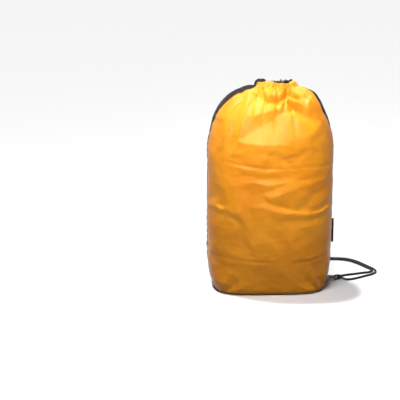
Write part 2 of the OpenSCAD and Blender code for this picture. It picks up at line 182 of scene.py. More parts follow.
def swept(name, line, across, up, section, stretch=slice(None), closed_ends=True):
    """A sheet wrapped round a stretch of the line. section is its outline, as (across, up) points in metres."""
    section = np.array(section + section[:1])
    places = line[:, None] + across[:, None] * section[None, :, :1] + up[:, None] * section[None, :, 1:]
    cloth = np.stack(np.meshgrid(way_along(section), way_along(line)), axis=-1)
    piece = sheet_of(name, places[stretch], cloth[stretch])
    if closed_ends:
        close_ends(piece)
    return piece


def tube(name, line, radius, sides, **choices):
    """A round tube along the line, carried along it without twist."""
    ahead = unit(np.gradient(line, axis=0))
    side = np.cross(ahead[0], (0, 0, 1) if abs(ahead[0][2]) < 0.9 else (1, 0, 0))
    across = []
    for t in ahead:
        side = side - t * (side @ t)
        side = side / np.linalg.norm(side)
        across.append(side)
    angles = [2 * math.pi * k / sides for k in range(sides)]
    section = [(radius * math.cos(a), radius * math.sin(a)) for a in angles]
    return swept(name, line, np.array(across), np.cross(ahead, across), section, **choices)


def dress(piece, slot, body, *replaced):
    """Says which finish the piece has, which body it moves with and which CAD nodes it stands for."""
    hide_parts(*replaced)
    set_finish(piece, slot)
    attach(piece, body)


# %% [markdown]
# ## Cords
#
# The two ends of the drawcord leave the mouth through the gap at the back, hang down behind the
# sack, lie on the floor in a loose loop and come back to the clasp. Each is 3.5 mm braid about 0.6 m
# long, limp, so it takes wide curves and lies flat on the floor. A tube along a smooth line is the
# plainest way to make it, and the points are the CAD route's own.
#
# When the clasp is lifted, only the stretch from the loop's far bend to the knot comes up with it.
# So each cord is made as two pieces that meet at that bend: the long one stays with the sack, and the
# tail runs on from that bend to the clasp.

# %% Lay the cords
CORD_D = 0.0035
ROUTE_A = [
    (10.5, 12, 344), (5.5, 14.5, 344), (2.8, 21, 343), (3, 31, 339.5), (4, 42, 329), (6, 53, 312),
    (9, 61.5, 291), (13, 67.5, 266), (18, 70, 238), (24, 70, 208), (30, 69.5, 178), (36, 69, 148),
    (42, 68.5, 118), (48, 68.5, 90), (54, 70, 64), (60, 73, 41), (67, 79, 22), (76, 88, 8),
    (86, 98, 2.4), (96, 108, 2), (107, 115, 2), (123, 114, 2), (138, 112, 2), (150, 106, 2),
    (160, 95, 2), (169, 81, 2), (177, 67, 2), (183, 57, 2), (184, 49, 2), (178, 43, 2),
    (166, 39, 2), (151, 34, 2), (137, 29.5, 2), (128, 24.5, 2.5), (123, 16.5, 3.7)]
ROUTE_B = [
    (-10.5, 12, 344), (-5.5, 14.5, 344), (-2.8, 21, 343), (-2, 31, 339.5), (-1, 42, 329), (1, 53, 312),
    (4, 61.5, 291), (8, 68, 266), (13, 70.5, 238), (19, 70.5, 208), (25, 70.5, 178), (31, 70, 148),
    (37, 70, 118), (43, 71, 90), (49, 73, 64), (55, 77, 41), (62, 84, 22), (71, 94, 8),
    (81, 104, 2.4), (92, 114, 2), (106, 121, 2), (124, 119, 2), (140, 117, 2), (153, 111, 2),
    (165, 99, 2), (174, 84, 2), (182, 70, 2), (188, 58, 2), (190, 47, 2), (186, 37, 2),
    (176, 28, 2), (165, 21, 2), (153, 13, 2), (142, 7.5, 2), (133, 6, 2.5), (125.3, 9.5, 3.9)]
laid = {}
for letter, route in (("a", ROUTE_A), ("b", ROUTE_B)):
    line = smooth_line(route, 6) * MM
    bend = int(np.argmax(line[:, 0]))
    halves = [tube(name + letter, line, CORD_D / 2, 14, stretch=stretch)
              for name, stretch in (("cord_", slice(0, bend + 1)), ("cord_tail_", slice(bend, None)))]
    for piece in halves:
        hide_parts("strap_cord_" + letter)
        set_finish(piece, "braided_cord")
    laid[letter] = (*halves, line[:bend + 1], line[bend:])
    print("cord", letter, round(way_along(line)[-1], 3), "m, of which",
          round(way_along(line[bend:])[-1], 3), "m after the far bend")

# %% [markdown]
# ## The filled sack
#
# The real sack is a tube of thin cloth, 0.56 m round, sewn to a boxed base and drawn in at the top
# to a mouth a quarter as wide. The filling holds it out in a smooth barrel, the drawcord gathers it
# into pleats, and the folds it was packed in stay as creases. It could be sculpted by hand, or blown
# up by a cloth simulation, whose pressure rounds the creases away. Here the smooth barrel comes from
# the same outline as the CAD solid, and the folds are added to it one by one.

# %% The barrel's outline
SACK_H, BASE_RISE, SHOULDER_Z, NECK_Z = 0.350, 0.080, 0.230, 0.3404
FOOT, FULL, MOUTH = (0.090, 0.065), (0.104, 0.067), (0.028, 0.013)
FOOT_SQUARE, FULL_SQUARE, ROUND = 4.0, 2.6, 2.0
CASING = (0.0055, 0.0060)
MOUTH_Z = SACK_H - CASING[1]
NECK_OUT = 0.0033
NECK = (MOUTH[0] + NECK_OUT, MOUTH[1] + NECK_OUT)
EDGE_R = 0.006
BASE_LINE = FOOT[0] - EDGE_R - 0.003  # half the length of the line that the base's cloth starts from
LATE, FULLNESS = 2.0, 0.52
COLUMNS = 300
HALF = COLUMNS // 2


def swell(z):
    """0 at the floor, and 1 where the foot has widened to the full barrel."""
    return 1 - (1 - np.clip(z / BASE_RISE, 0, 1)) ** 3


def close_in(z):
    """1 up to the shoulder, then down to 0 at the neck."""
    t = np.clip((z - SHOULDER_Z) / (NECK_Z - SHOULDER_Z), 0, 1)
    return (1 - t ** LATE) ** FULLNESS


def half_size(z, axis):
    """Half the barrel's width (axis 0) or depth (axis 1) at a height."""
    low = FOOT[axis] + (FULL[axis] - FOOT[axis]) * swell(z)
    return np.where(z > SHOULDER_Z, NECK[axis] + (FULL[axis] - NECK[axis]) * close_in(z), low)


def squareness(z):
    """2 where the barrel is an oval, and more where it is nearer to a rectangle."""
    return np.where(z > SHOULDER_Z, ROUND + (FULL_SQUARE - ROUND) * close_in(z),
                    FOOT_SQUARE - (FOOT_SQUARE - FULL_SQUARE) * swell(z))


def outline(a, w, d, n):
    """The point of the rounded rectangle w by d in direction a."""
    r = (np.abs(np.cos(a) / w) ** n + np.abs(np.sin(a) / d) ** n) ** (-1 / n)
    return r * np.cos(a), r * np.sin(a)


# %% Columns: directions that cut the girth into equal lengths of cloth
turn = np.linspace(0, 2 * math.pi, 4001)
way_round = way_along(np.stack(outline(turn, *FULL, FULL_SQUARE), -1))
GIRTH = way_round[-1]
CLOTH_S = np.linspace(0, GIRTH, COLUMNS + 1)
ANGLES = np.interp(CLOTH_S, way_round, turn)
COLUMN = np.arange(COLUMNS + 1)
print("girth", round(GIRTH, 4), "m, a column each", round(GIRTH / COLUMNS / MM, 2), "mm")

# %% Rows of the sheet, from the middle of the base to the hem inside the mouth
WALL_ROW, UNDER_NECK = 0.0018, 0.0003
fine = np.linspace(EDGE_R, NECK_Z - UNDER_NECK, 3001)
climb = way_along(np.stack([fine, (half_size(fine, 0) + half_size(fine, 1)) / 2], -1))
wall_z = np.interp(np.linspace(0, climb[-1], round(climb[-1] / WALL_ROW) + 1), climb, fine)
BASE_ROWS = 26
EDGE_TURNS = np.radians([10, 20, 30, 40, 50, 60, 70, 80])
CASING_TURNS = np.radians(np.arange(-18, 236, 9))
rows = [("base", k / BASE_ROWS) for k in range(BASE_ROWS + 1)]
rows += [("edge", a) for a in EDGE_TURNS]
rows += [("wall", z) for z in wall_z]
rows += [("casing", a) for a in CASING_TURNS]
WALL_START = BASE_ROWS + 1 + len(EDGE_TURNS)
CASING_START = WALL_START + len(wall_z)
print("rows", len(rows), "of which wall", len(wall_z), "from", WALL_START, "casing from", CASING_START)

# %% How the drawn mouth pulls the cloth sideways
# turns of the right and left seams, in radians, on the shoulders and all the way up the wall
SHOULDER_PULL, WALL_PULL, SEAM_REACH = (0.24, -0.03), (0.012, -0.028), 0.7
# the columns at the two edges of the channel's gap: as cut, and the places that they are drawn to
GAP_CUT, GAP_DRAWN = (97, 105), (70, 125)
BUNCH_FROM, BUNCH_TO = 0.312, 0.343


def smoothstep(low, high, value):
    t = np.clip((value - low) / (high - low), 0, 1)
    return t * t * (3 - 2 * t)


def pulled(z):
    """The columns' directions at a height: the drawn mouth pulls both seams forward over the shoulders."""
    on_shoulder = np.interp(z, (0.20, 0.30, 0.335, 0.345), (0, 1, 1, 0)) ** 1.5
    on_wall = np.interp(z, (0.01, 0.06, 0.335, 0.345), (0, 1, 1, 0))
    near, left, far = (np.exp(-((ANGLES - seam) / SEAM_REACH) ** 2) for seam in (0, math.pi, 2 * math.pi))
    shoulder, wall = (pull[0] * (near + far) + pull[1] * left for pull in (SHOULDER_PULL, WALL_PULL))
    return ANGLES - on_shoulder * shoulder - on_wall * wall


def bunched(angles, share):
    """The columns slid along the drawcord, away from the gap in the back where it comes out."""
    slid = np.interp(COLUMN, (0, *GAP_CUT, HALF, COLUMNS), (0, *GAP_DRAWN, HALF, COLUMNS))
    for _ in range(12):
        slid[1:-1] = (slid[:-2] + 2 * slid[1:-1] + slid[2:]) / 4
    return angles + share * (np.interp(slid, COLUMN, angles) - angles)


# %% The smooth barrel
def place_row(kind, t):
    """A row's points: (x, y, z) for each column."""
    if kind == "base":
        share = np.where(ANGLES <= math.pi, ANGLES / math.pi, (2 * math.pi - ANGLES) / math.pi)
        middle_x = BASE_LINE * (1 - 2 * share)
        x, y = outline(ANGLES, FOOT[0] - EDGE_R, FOOT[1] - EDGE_R, FOOT_SQUARE)
        return middle_x * (1 - t) + x * t, y * t, 0
    if kind == "edge":
        z = EDGE_R * (1 - math.cos(t))
        inset = EDGE_R * (1 - math.sin(t))
        return *outline(ANGLES, half_size(z, 0) - inset, half_size(z, 1) - inset, squareness(z)), z
    if kind == "wall":
        turned = bunched(pulled(t), smoothstep(BUNCH_FROM, BUNCH_TO, t))
        return *outline(turned, half_size(t, 0), half_size(t, 1), squareness(t)), t
    turned = bunched(ANGLES, 1)
    around = np.arctan2(np.sin(turned) / MOUTH[1], np.cos(turned) / MOUTH[0])
    nx, ny = np.cos(around) / MOUTH[0], np.sin(around) / MOUTH[1]
    out = CASING[0] * math.cos(t) / np.hypot(nx, ny)
    return (MOUTH[0] * np.cos(around) + out * nx, MOUTH[1] * np.sin(around) + out * ny,
            MOUTH_Z + CASING[1] * math.sin(t))


BARREL = np.array([np.stack(np.broadcast_arrays(*place_row(kind, t)), -1) for kind, t in rows])
HEIGHT = np.concatenate([[0], np.cumsum(np.linalg.norm(np.diff(BARREL, axis=0), axis=2).mean(axis=1))])
CLOTH_UV = np.stack(np.meshgrid(CLOTH_S, HEIGHT), -1)
print("cloth from the middle of the base to the hem", round(HEIGHT[-1], 3), "m")

# %% Outward directions of the barrel
closed = np.concatenate([BARREL[:, -2:-1], BARREL, BARREL[:, 1:2]], axis=1)
OUTWARD = np.cross(closed[:, 2:] - closed[:, :-2], np.gradient(BARREL, axis=0))
OUTWARD /= np.maximum(np.linalg.norm(OUTWARD, axis=2), 1e-12)[..., None]
print("outward at the belly's front", np.round(OUTWARD[WALL_START + 40, 3 * HALF // 2], 2))

# %% [markdown]
# ## Pleats and creases
#
# Thin coated cloth doesn't bend softly. It stays in flat facets that meet in sharp ridges and
# valleys, as a crumpled paper bag does. So the folds are drawn as lines of points, each with its push
# out of the smooth barrel, and a Delaunay net stretches flat facets between the lines. The gathers
# round the mouth are lobes between valleys that fade out at different heights. Behind, where the
# black channel is bunched on the cord, the same lobes are deep and close, because 27 cm of cloth is
# drawn onto a few centimetres of cord.

# %% Where each point of the sheet is
X, Y, Z = BARREL[..., 0], BARREL[..., 1], BARREL[..., 2]
ROW = np.broadcast_to(np.arange(len(rows))[:, None], X.shape)
ON_WALL = np.clip((ROW - WALL_START + 7) / 9, 0, 1)


def folded(lines):
    """The push, in metres, of flat facets stretched between fold lines of (x, z, push) points in mm."""
    corners, edges, pushes = [], [], []
    for line in lines:
        for k, (fold_x, fold_z, fold_push) in enumerate(line):
            if k:
                edges.append((len(corners) - 1, len(corners)))
            corners.append(Vector((fold_x, fold_z)))
            pushes.append(fold_push)
    flat, _, faces, origins, _, _ = delaunay_2d_cdt(corners, edges, [], 0, 1e-4)
    net = [Vector((p.x, p.y, sum(pushes[i] for i in origin) / len(origin) if origin else 0))
           for p, origin in zip(flat, origins)]
    tree = BVHTree.FromPolygons(net, faces)
    push = np.zeros(X.shape)
    for index in np.ndindex(X.shape):
        hit = tree.ray_cast(Vector((X[index] / MM, Z[index] / MM, 100)), Vector((0, 0, -1)))[0]
        push[index] = hit.z * MM if hit else 0
    return push


# %% Folds: each line is a ridge (push above 0) or a valley (below 0), seen from outside
EDGE = [[(x, z, 0) for z in (0, 60, 142, 222, 300, 356)] for x in (-112, 112)]
EDGE += [[(x, z, 0) for x in (-60, 0, 60)] for z in (0, 358)]
FRONT_FOLDS = EDGE + [
    # the shelf under the mouth, and the valley above it
    [(12, 306, -3.0), (-2, 297, -3.0), (-18, 288, -2.8), (-38, 275, -1.6), (-55, 266, 0.5)],
    [(-56, 263, 1.8), (-36, 259, 3.2), (-14, 257, 3.7), (8, 257, 3.9), (24, 256, 3.6)],
    [(-62, 250, 0.9), (-36, 243, 1.6), (-8, 241, 1.8), (24, 240, 1.6)],
    [(24, 256, 3.6), (30, 262, 2.0), (44, 266, 2.6), (57, 270, 4.0), (70, 279, 3.8), (78, 290, 2.6),
     (80, 304, 0.5)],
    [(40, 246, 1.5), (62, 256, 1.4), (82, 272, 0.8)],
    [(22, 308, -2.0), (22, 288, -0.5), (21, 270, 1.5)],
    [(20, 322, -3.5), (33, 313, -6.0), (46, 304, -5.5), (58, 296, -1.0)],
    [(30, 304, 1.5), (42, 294, 2.5), (56, 285, 3.0)],
    # folds beside the mouth
    [(17, 347, -8.0), (20, 340, -12.5), (27, 334, -13.0), (35, 330, -9.0), (45, 324, -2.0)],
    [(16, 326, 0.5), (22, 327, 2.0), (34, 321, 4.0), (50, 313, 4.0), (66, 304, 2.5)],
    [(24, 351, 3.0), (31, 345, 5.0), (42, 338, 5.5), (56, 329, 4.5), (70, 315, 3.0), (82, 292, 2.0),
     (88, 262, 1.0)],
    [(-18, 332, 0.5), (-24, 317, 2.0), (-32, 302, 3.0)],
    [(-32, 302, 3.0), (-16, 306, 2.4), (-2, 310, 1.6), (10, 315, 0)],
    [(-34, 291, -0.3), (-20, 296, -0.6), (-6, 303, -1.5)],
    [(-34, 344, 2.0), (-42, 338, 3.5), (-34, 333, 3.0)],
    [(-38, 330, -2.5), (-30, 328, -3.0), (-22, 331, -2.5)],
    [(-46, 326, 1.5), (-44, 306, 2.0), (-50, 286, 2.0), (-58, 268, 1.0)],
    [(-38, 320, -1.0), (-38, 300, -0.5), (-42, 284, -1.0)],
    [(-54, 322, -1.5), (-60, 300, -2.0), (-66, 268, -2.0), (-70, 238, -1.0)],
    [(-66, 318, 1.5), (-76, 290, 2.0), (-80, 258, 1.8), (-82, 230, 0.5)],
    [(-86, 286, -1.0), (-91, 250, -1.0)],
    # first packing crease
    [(-98, 232, 0), (-71, 229, 0.2), (-40, 225, 0.5), (-20, 222, 0.8), (0, 221, 0.4), (40, 222, 0.2),
     (97, 221, 0.3)],
    [(-84, 228, 0), (-71, 226, -0.8), (-40, 221, -0.7), (-8, 217, -0.7), (16, 217, -0.1),
     (52, 218, -0.5), (97, 217, -0.5)],
    [(-98, 224, 0), (-71, 222, 0.6), (-40, 217, 0.7), (-6, 213, 1.0), (20, 214, 0.4), (52, 214, 0.3),
     (97, 213, 0.5)],
    [(-98, 206, 0), (-60, 202, -0.4), (40, 198, -0.4), (90, 200, -0.3)],
    [(-29, 226, 1.2), (-12, 238, 2.4), (6, 250, 2.8)],
    [(10, 232, -0.6), (44, 238, -0.8), (80, 244, -0.5)],
    # the belly between the creases
    [(-34, 196, 0.5), (-6, 190, 2.4), (24, 194, 1.0), (48, 202, 0.5)],
    [(-50, 206, -0.8), (-28, 200, -1.0), (2, 200, -0.8), (30, 205, -0.8)],
    [(-8, 168, 2.2), (12, 175, 2.8), (32, 183, 2.6), (60, 190, 1.6), (86, 196, 0.6)],
    [(-40, 180, -0.8), (-18, 176, -1.0), (0, 182, 0.2)],
    [(-94, 196, -0.5), (-88, 170, -1.5), (-86, 150, -1.0)],
    [(-82, 204, 1.0), (-76, 176, 1.4), (-70, 158, 0.8)],
    [(-58, 186, 0.8), (-52, 164, 1.4), (-40, 154, 0.6)],
    [(66, 170, -1.0), (84, 178, -1.0), (98, 190, -0.5)],
    [(78, 156, 0.8), (92, 166, 1.2), (100, 176, 0.5)],
    # second packing crease
    [(-10, 163, -0.6), (8, 154, -1.1), (28, 148, -1.8), (52, 146, -2.1), (74, 143, -1.8),
     (86, 147, -1.7), (98, 153, -0.6)],
    [(-12, 152, 1.6), (4, 146, 2.2), (24, 142, 2.2), (46, 141, 2.0), (66, 139, 1.8), (80, 142, 1.8),
     (98, 148, 0.6)],
    [(0, 132, 0), (28, 127, -0.8), (56, 127, -1.0), (80, 130, -1.2), (98, 134, -0.5)],
    [(-92, 150, 0.5), (-78, 148, 1.8), (-62, 143, 2.2), (-50, 138, 2.4), (-44, 128, 2.4), (-38, 117, 1.4)],
    [(-90, 139, -0.6), (-72, 136, -1.1), (-58, 129, -1.2), (-50, 119, -0.8)],
    [(-34, 140, -1.0), (-32, 128, -1.2), (-28, 114, -0.6)],
    [(40, 116, 0.8), (64, 119, 1.2), (88, 120, 0.8)],
    # the lower belly
    [(-60, 112, 0.4), (-52, 100, -1.6), (-44, 86, -1.8), (-42, 74, -0.5)],
    [(-40, 104, 1.2), (-34, 90, 1.4), (-30, 76, 0.6)],
    [(-92, 116, 0.8), (-84, 96, 1.2), (-76, 78, 0.6)],
    [(0, 118, -0.6), (8, 96, -0.8), (4, 80, -0.4)],
    [(22, 106, 0.8), (30, 88, 1.0), (28, 74, 0.6)],
    [(60, 104, -1.0), (72, 90, -1.0), (90, 80, -0.5)],
    [(76, 106, 0.6), (92, 96, 0.8)],
    # third packing crease
    [(-98, 68, 0.2), (-51, 65, 0.6), (-21, 62, 0.8), (10, 61, 0.2), (41, 60, 0.4), (62, 61, 0.9),
     (92, 66, 0.5)],
    [(-98, 65, -0.2), (-51, 61, -0.5), (-21, 59, -0.8), (10, 58, 0), (41, 57, -0.3), (62, 58, -0.8),
     (92, 63, -0.6)],
    [(-98, 61, 0.3), (-51, 58, 0.7), (-26, 56, 0.7), (10, 55, 0.2), (41, 54, 0.3), (62, 55, 0.4),
     (92, 59, 0.4)],
    [(-60, 44, -0.8), (-34, 42, -1.0)],
    # the corners of the foot
    [(84, 3, 0.5), (74, 20, 2.6), (66, 40, 1.0)],
    [(84, 4, 0), (80, 22, -1.4), (76, 42, -1.0)],
    [(82, 2, 0), (64, 18, -1.8), (52, 34, -1.2)],
    [(80, 1, 0), (58, 10, 1.8), (40, 20, 0.8)],
    [(90, 20, 1.4), (86, 38, 1.0)],
    [(-84, 3, 0.5), (-74, 20, 2.6), (-66, 38, 1.0)],
    [(-82, 2, 0), (-62, 16, -1.8), (-50, 30, -1.2)],
    [(-80, 1, 0), (-56, 9, 1.6), (-38, 18, 0.6)],
    [(-90, 20, 1.4), (-86, 38, 1.0)],
]
BACK_FOLDS = EDGE + [
    [(-30, 343, 2.0), (-42, 336, 5.5), (-56, 325, 4.0)],
    [(-98, 214, 0.6), (-50, 219, 1.0), (0, 216, 0.6), (40, 221, 1.2), (97, 214, 0.8)],
    [(-98, 207, -1.2), (-50, 211, -2.2), (0, 209, -2.0), (40, 213, -2.4), (97, 207, -1.6)],
    [(-98, 199, 0.8), (-50, 203, 1.2), (0, 202, 1.6), (40, 205, 0.8), (97, 199, 0.8)],
    [(-98, 138, 0.8), (-44, 132, 1.8), (10, 136, 1.0), (54, 130, 1.8), (97, 133, 0.6)],
    [(-98, 130, -1.2), (-44, 124, -2.4), (10, 129, -2.0), (54, 122, -2.6), (97, 126, -1.4)],
    [(-98, 122, 0.8), (-44, 116, 1.0), (10, 121, 1.6), (54, 114, 1.0), (97, 118, 0.8)],
    [(-98, 64, 0.8), (-40, 68, 1.6), (20, 64, 0.8), (97, 60, 1.0)],
    [(-98, 56, -1.2), (-40, 60, -2.0), (20, 57, -2.2), (97, 53, -1.4)],
    [(-98, 48, 0.8), (-40, 52, 0.8), (20, 49, 1.2), (97, 45, 0.8)],
    [(-70, 190, -0.8), (-40, 176, -1.6), (-20, 160, -0.8)],
    [(-60, 172, 1.4), (-34, 160, 1.8), (-10, 148, 0.6)],
    [(20, 190, 1.4), (44, 174, 2.0), (70, 152, 0.8)],
    [(6, 176, -0.8), (30, 160, -1.6), (50, 144, -0.8)],
    [(-70, 106, 1.0), (-30, 96, 1.8), (0, 80, 0.6)],
    [(-50, 86, -1.2), (-26, 80, -1.4)],
    [(30, 104, 1.4), (56, 92, 1.6), (80, 76, 0.8)],
    [(16, 96, -1.0), (40, 82, -1.4), (60, 70, -0.8)],
    [(-26, 326, -2.0), (-42, 296, -3.0), (-60, 254, -1.5), (-66, 232, -0.5)],
    [(-10, 322, 2.0), (-24, 292, 3.4), (-40, 256, 2.0), (-42, 232, 0.5)],
    [(3, 330, -1.5), (5, 300, -2.0), (12, 268, -1.5), (22, 236, -0.8)],
    [(22, 324, 2.0), (40, 290, 3.4), (50, 252, 1.6)],
    [(36, 322, -2.0), (54, 292, -2.5), (66, 250, -1.2)],
    [(48, 318, 2.0), (68, 286, 3.0), (82, 250, 1.4)],
    [(-40, 318, 2.0), (-62, 286, 3.0), (-82, 246, 1.2)],
    [(84, 3, 0.5), (74, 20, 2.4), (66, 40, 1.0)],
    [(82, 2, 0), (64, 18, -1.8), (52, 34, -1.2)],
    [(80, 1, 0), (58, 10, 1.6), (40, 20, 0.8)],
    [(-84, 3, 0.5), (-74, 20, 2.4), (-66, 38, 1.0)],
    [(-82, 2, 0), (-62, 16, -1.8), (-50, 30, -1.2)],
]
push = np.zeros(X.shape)
for side, lines in ((-1, FRONT_FOLDS), (1, BACK_FOLDS)):
    push += folded(lines) * np.clip(side * Y / 0.012, 0, 1) * ON_WALL
# one round of easing rounds the ridges and valleys to about the stiffness of the cloth
push[:, :-1] = (push[:, :-1] * 2 + np.roll(push[:, :-1], 1, 1) + np.roll(push[:, :-1], -1, 1)) / 4
push[1:-1] = (push[1:-1] * 2 + push[2:] + push[:-2]) / 4
push[:, -1] = push[:, 0]
print("folds push from", round(push.min() / MM, 2), "to", round(push.max() / MM, 2), "mm")

# %% Gathers round the mouth
random.seed(7)
SMALL_LOBES, LARGE_LOBES = 34, 17


def uneven_marks(count):
    """Places round the girth that cut it into count unequal lobes."""
    gaps = np.array([random.uniform(0.6, 1.5) for _ in range(count)])
    return np.concatenate([[0], np.cumsum(gaps)]) / gaps.sum() * GIRTH


def lobes(marks, heights, roundness):
    """Lobes between marks: 0 in the valleys and up to heights[k] on the crown of lobe k."""
    s = CLOTH_S % GIRTH
    k = np.clip(np.searchsorted(marks, s, side="right") - 1, 0, len(marks) - 2)
    t = (s - marks[k]) / (marks[k + 1] - marks[k])
    return np.sin(math.pi * t) ** roundness * heights[k], k


def level(points):
    """A value for each row from (height, value) points, with the casing's rows at the last value."""
    z, value = np.array(points, float).T * MM
    by_row = np.interp(wall_z, z, value)
    return np.concatenate([np.full(WALL_START, by_row[0]), by_row, np.full(len(CASING_TURNS), value[-1])])[:, None]


marks = uneven_marks(SMALL_LOBES)
small, _ = lobes(marks, np.array([random.uniform(0.6, 1.2) for _ in range(SMALL_LOBES)]), 0.7)
large, lobe = lobes(marks[::2], np.ones(LARGE_LOBES), 0.75)
ends = np.array([random.uniform(240, 292) for _ in range(LARGE_LOBES)])[lobe] * MM
strength = np.array([random.uniform(0.6, 1.25) for _ in range(LARGE_LOBES)])[lobe]
small_level = level([(285, 0), (305, 0.5), (322, 1.2), (334, 1.6), (340, 1.3)])
large_level = level([(230, 0), (270, 2.2), (300, 4.6), (322, 5.2), (336, 3.6), (340, 3.0)])
gather = (small - 0.55) * small_level
gather += (large - 0.6) * large_level * strength * smoothstep(0, 0.05, Z - ends)

# %% Deep pleats of the back channel, shallower beside the gap where the cords come out
CHANNEL_PLEAT, BESIDE_GAP = 0.0067, 0.40
drawn_tight = smoothstep(CASING_START - 7, CASING_START + 5, ROW) * np.clip(Y / 0.004, 0, 1)
from_gap = np.maximum(GAP_CUT[0] - COLUMN, COLUMN - GAP_CUT[1])
pleat_depth = CHANNEL_PLEAT * (BESIDE_GAP + (1 - BESIDE_GAP) * smoothstep(0, 8, from_gap))
gather += (small - 0.63) * pleat_depth * drawn_tight
print("gathers push from", round(gather.min() / MM, 2), "to", round(gather.max() / MM, 2), "mm")

# %% The overlapping pleat in the middle of the front, with three short slits at its top
TONGUE_X, TONGUE_Z = -0.005, 0.348
RAISED, ROLLED, GROOVED, SLIT = 0.0016, 0.0036, 0.0058, 0.0030
tongue = (np.abs((X - TONGUE_X) / 0.0190) ** 3 + np.abs((Z - TONGUE_Z) / 0.0225) ** 3) ** (1 / 3)
on_tongue = np.clip(-Y / 0.004, 0, 1) * (1 - smoothstep(CASING_START + 8, CASING_START + 20, ROW))
roll = np.exp(-((Z - 0.334) / 0.007) ** 2) * (1 - ((X - TONGUE_X) / 0.024) ** 2)
groove = np.clip(smoothstep(0.352, 0.332, Z) + 0.8 * smoothstep(0.004, 0.014, X), 0, 1)
pleat = (RAISED + ROLLED * roll) * (1 - smoothstep(0.80, 1.04, tongue))
pleat -= GROOVED * np.exp(-((tongue - 1.14) / 0.11) ** 2) * groove
for x in (-0.0045, -0.0010, 0.0035):
    pleat -= SLIT * np.exp(-((X - x) / 0.0012) ** 2) * smoothstep(0.332, 0.338, Z)

# %% Crevices where the drawn cloth folds in under itself: points of (x, z, depth), and a width, in mm
CREVICES = [([(15, 349, 6), (19, 342, 10), (26, 335, 10), (36, 329, 4)], 2.6),
            ([(19, 323, 3), (30, 315, 5), (45, 305, 2)], 2.4),
            ([(17, 331, 5), (14, 322, 4), (15, 308, 1.5)], 2.2),
            ([(-44, 338, 1.5), (-32, 345, 4), (-22, 350, 2)], 2.6)]
for points, width in CREVICES:
    cut = np.zeros(X.shape)
    for (x0, z0, d0), (x1, z1, d1) in zip(points, points[1:]):
        dx, dz = x1 - x0, z1 - z0
        t = np.clip(((X / MM - x0) * dx + (Z / MM - z0) * dz) / (dx ** 2 + dz ** 2), 0, 1)
        away = np.hypot(X / MM - x0 - t * dx, Z / MM - z0 - t * dz)
        cut = np.maximum(cut, (d0 + t * (d1 - d0)) * np.exp(-(away / width) ** 2))
    pleat -= cut * MM
pleat *= on_tongue

# %% Lumps of the filling and puckers along the seams
LUMP, DENT, WRINKLE, PUCKER, SEAM_DIP = 0.0010, 0.0012, 0.0005, 0.0007, 0.0004
lumps = np.zeros(X.shape)
for index in np.ndindex(X.shape):
    place = Vector(BARREL[index])
    flatter = Vector((place.x / 0.030, place.y / 0.030, place.z / 0.009))
    lumps[index] = (LUMP * noise.noise(place / 0.055)
                    + DENT * (0.3 - abs(noise.noise(place / 0.030 + Vector((3, 1, 4)))))
                    + WRINKLE * (0.3 - abs(noise.noise(flatter))))
to_seam = np.minimum(np.minimum(CLOTH_S, GIRTH - CLOTH_S), np.abs(CLOTH_S - GIRTH / 2))
up = HEIGHT[:, None]
pucker = PUCKER * np.sin(2 * math.pi * up / 0.017 + 5 * np.sin(up / 0.023))
pucker = pucker * np.exp(-to_seam / 0.010) * (1 - np.exp(-to_seam / 0.003))
pucker -= SEAM_DIP * np.exp(-to_seam / 0.005)
pucker *= ROW < CASING_START

# %% Push the barrel into its folds
QUIET_FRONT = 0.5  # the share by which the gathers are lower in front, where the fold lines give the relief
CHANNEL_DEEPEST, FRONT_SHALLOWER = -0.0044, 0.0022
push += gather * (1 - QUIET_FRONT * np.clip(-Y / 0.006, 0, 1)) + (lumps + pucker * ON_WALL) * ON_WALL
# the channel stays round its cord: nothing there is pushed in deeper than this
deepest = CHANNEL_DEEPEST + FRONT_SHALLOWER * np.clip(-Y / 0.004, 0, 1)
deepest -= 0.020 * smoothstep(CASING_START + 1, CASING_START - 6, ROW)
push = np.maximum(push, deepest)
pleat = np.maximum(push + pleat, deepest) - push
shaped = BARREL + OUTWARD * push[..., None]
near = np.exp(-((ROW - CASING_START) / 6.0) ** 2) * np.clip(-Y / 0.005, 0, 1)
for _ in range(30):  # the front of the channel bulges into the shoulder without a groove
    eased = shaped.copy()
    eased[1:-1] = (shaped[:-2] + 2 * shaped[1:-1] + shaped[2:]) / 4
    shaped += (eased - shaped) * near[..., None]
shaped += OUTWARD * pleat[..., None]

# %% Lean the drawn mouth to one side, and tilt its rim
MOUTH_LEAN, MOUTH_DROP, MOUTH_TILT, LOWEST = 0.009, 0.003, 0.14, 0.0004


def tilted(y):
    """How far the drawn mouth's rim moves up: it drops a little in front, and more behind."""
    return -MOUTH_DROP - MOUTH_TILT * y


shaped[..., 0] += MOUTH_LEAN * smoothstep(0.285, 0.352, Z)
shaped[..., 2] += tilted(Y) * smoothstep(0.320, 0.342, Z)
shaped[..., 2] = np.maximum(shaped[..., 2], LOWEST)
print("shaped sheet", np.round(shaped.min((0, 1)), 4), "to", np.round(shaped.max((0, 1)), 4), "m")

# %% [markdown]
# ## Panels
#
# The whole sack is shaped as one closed sheet, so that its panels meet exactly. Then it is cut along
# its real seams: nylon front, mesh back, the two parts of the label strip, and the channel round the
# mouth. A Solidify modifier gives each its thickness, inwards, so the outside stays where it is.

# %% The sack's cloth as one closed sheet
sack_cloth = sheet_of("sack_cloth", shaped, CLOTH_UV)
print("sack cloth", len(sack_cloth.data.vertices), "vertices", len(sack_cloth.data.polygons), "faces")

# %% Cut the panels
SEAM_U = GIRTH / 2
BACK_HEM = HEIGHT[WALL_START - len(EDGE_TURNS)]
CHANNEL = HEIGHT[CASING_START - 1]
LABEL_SPLIT_X = -0.016
GAP = CLOTH_S[list(GAP_CUT)]


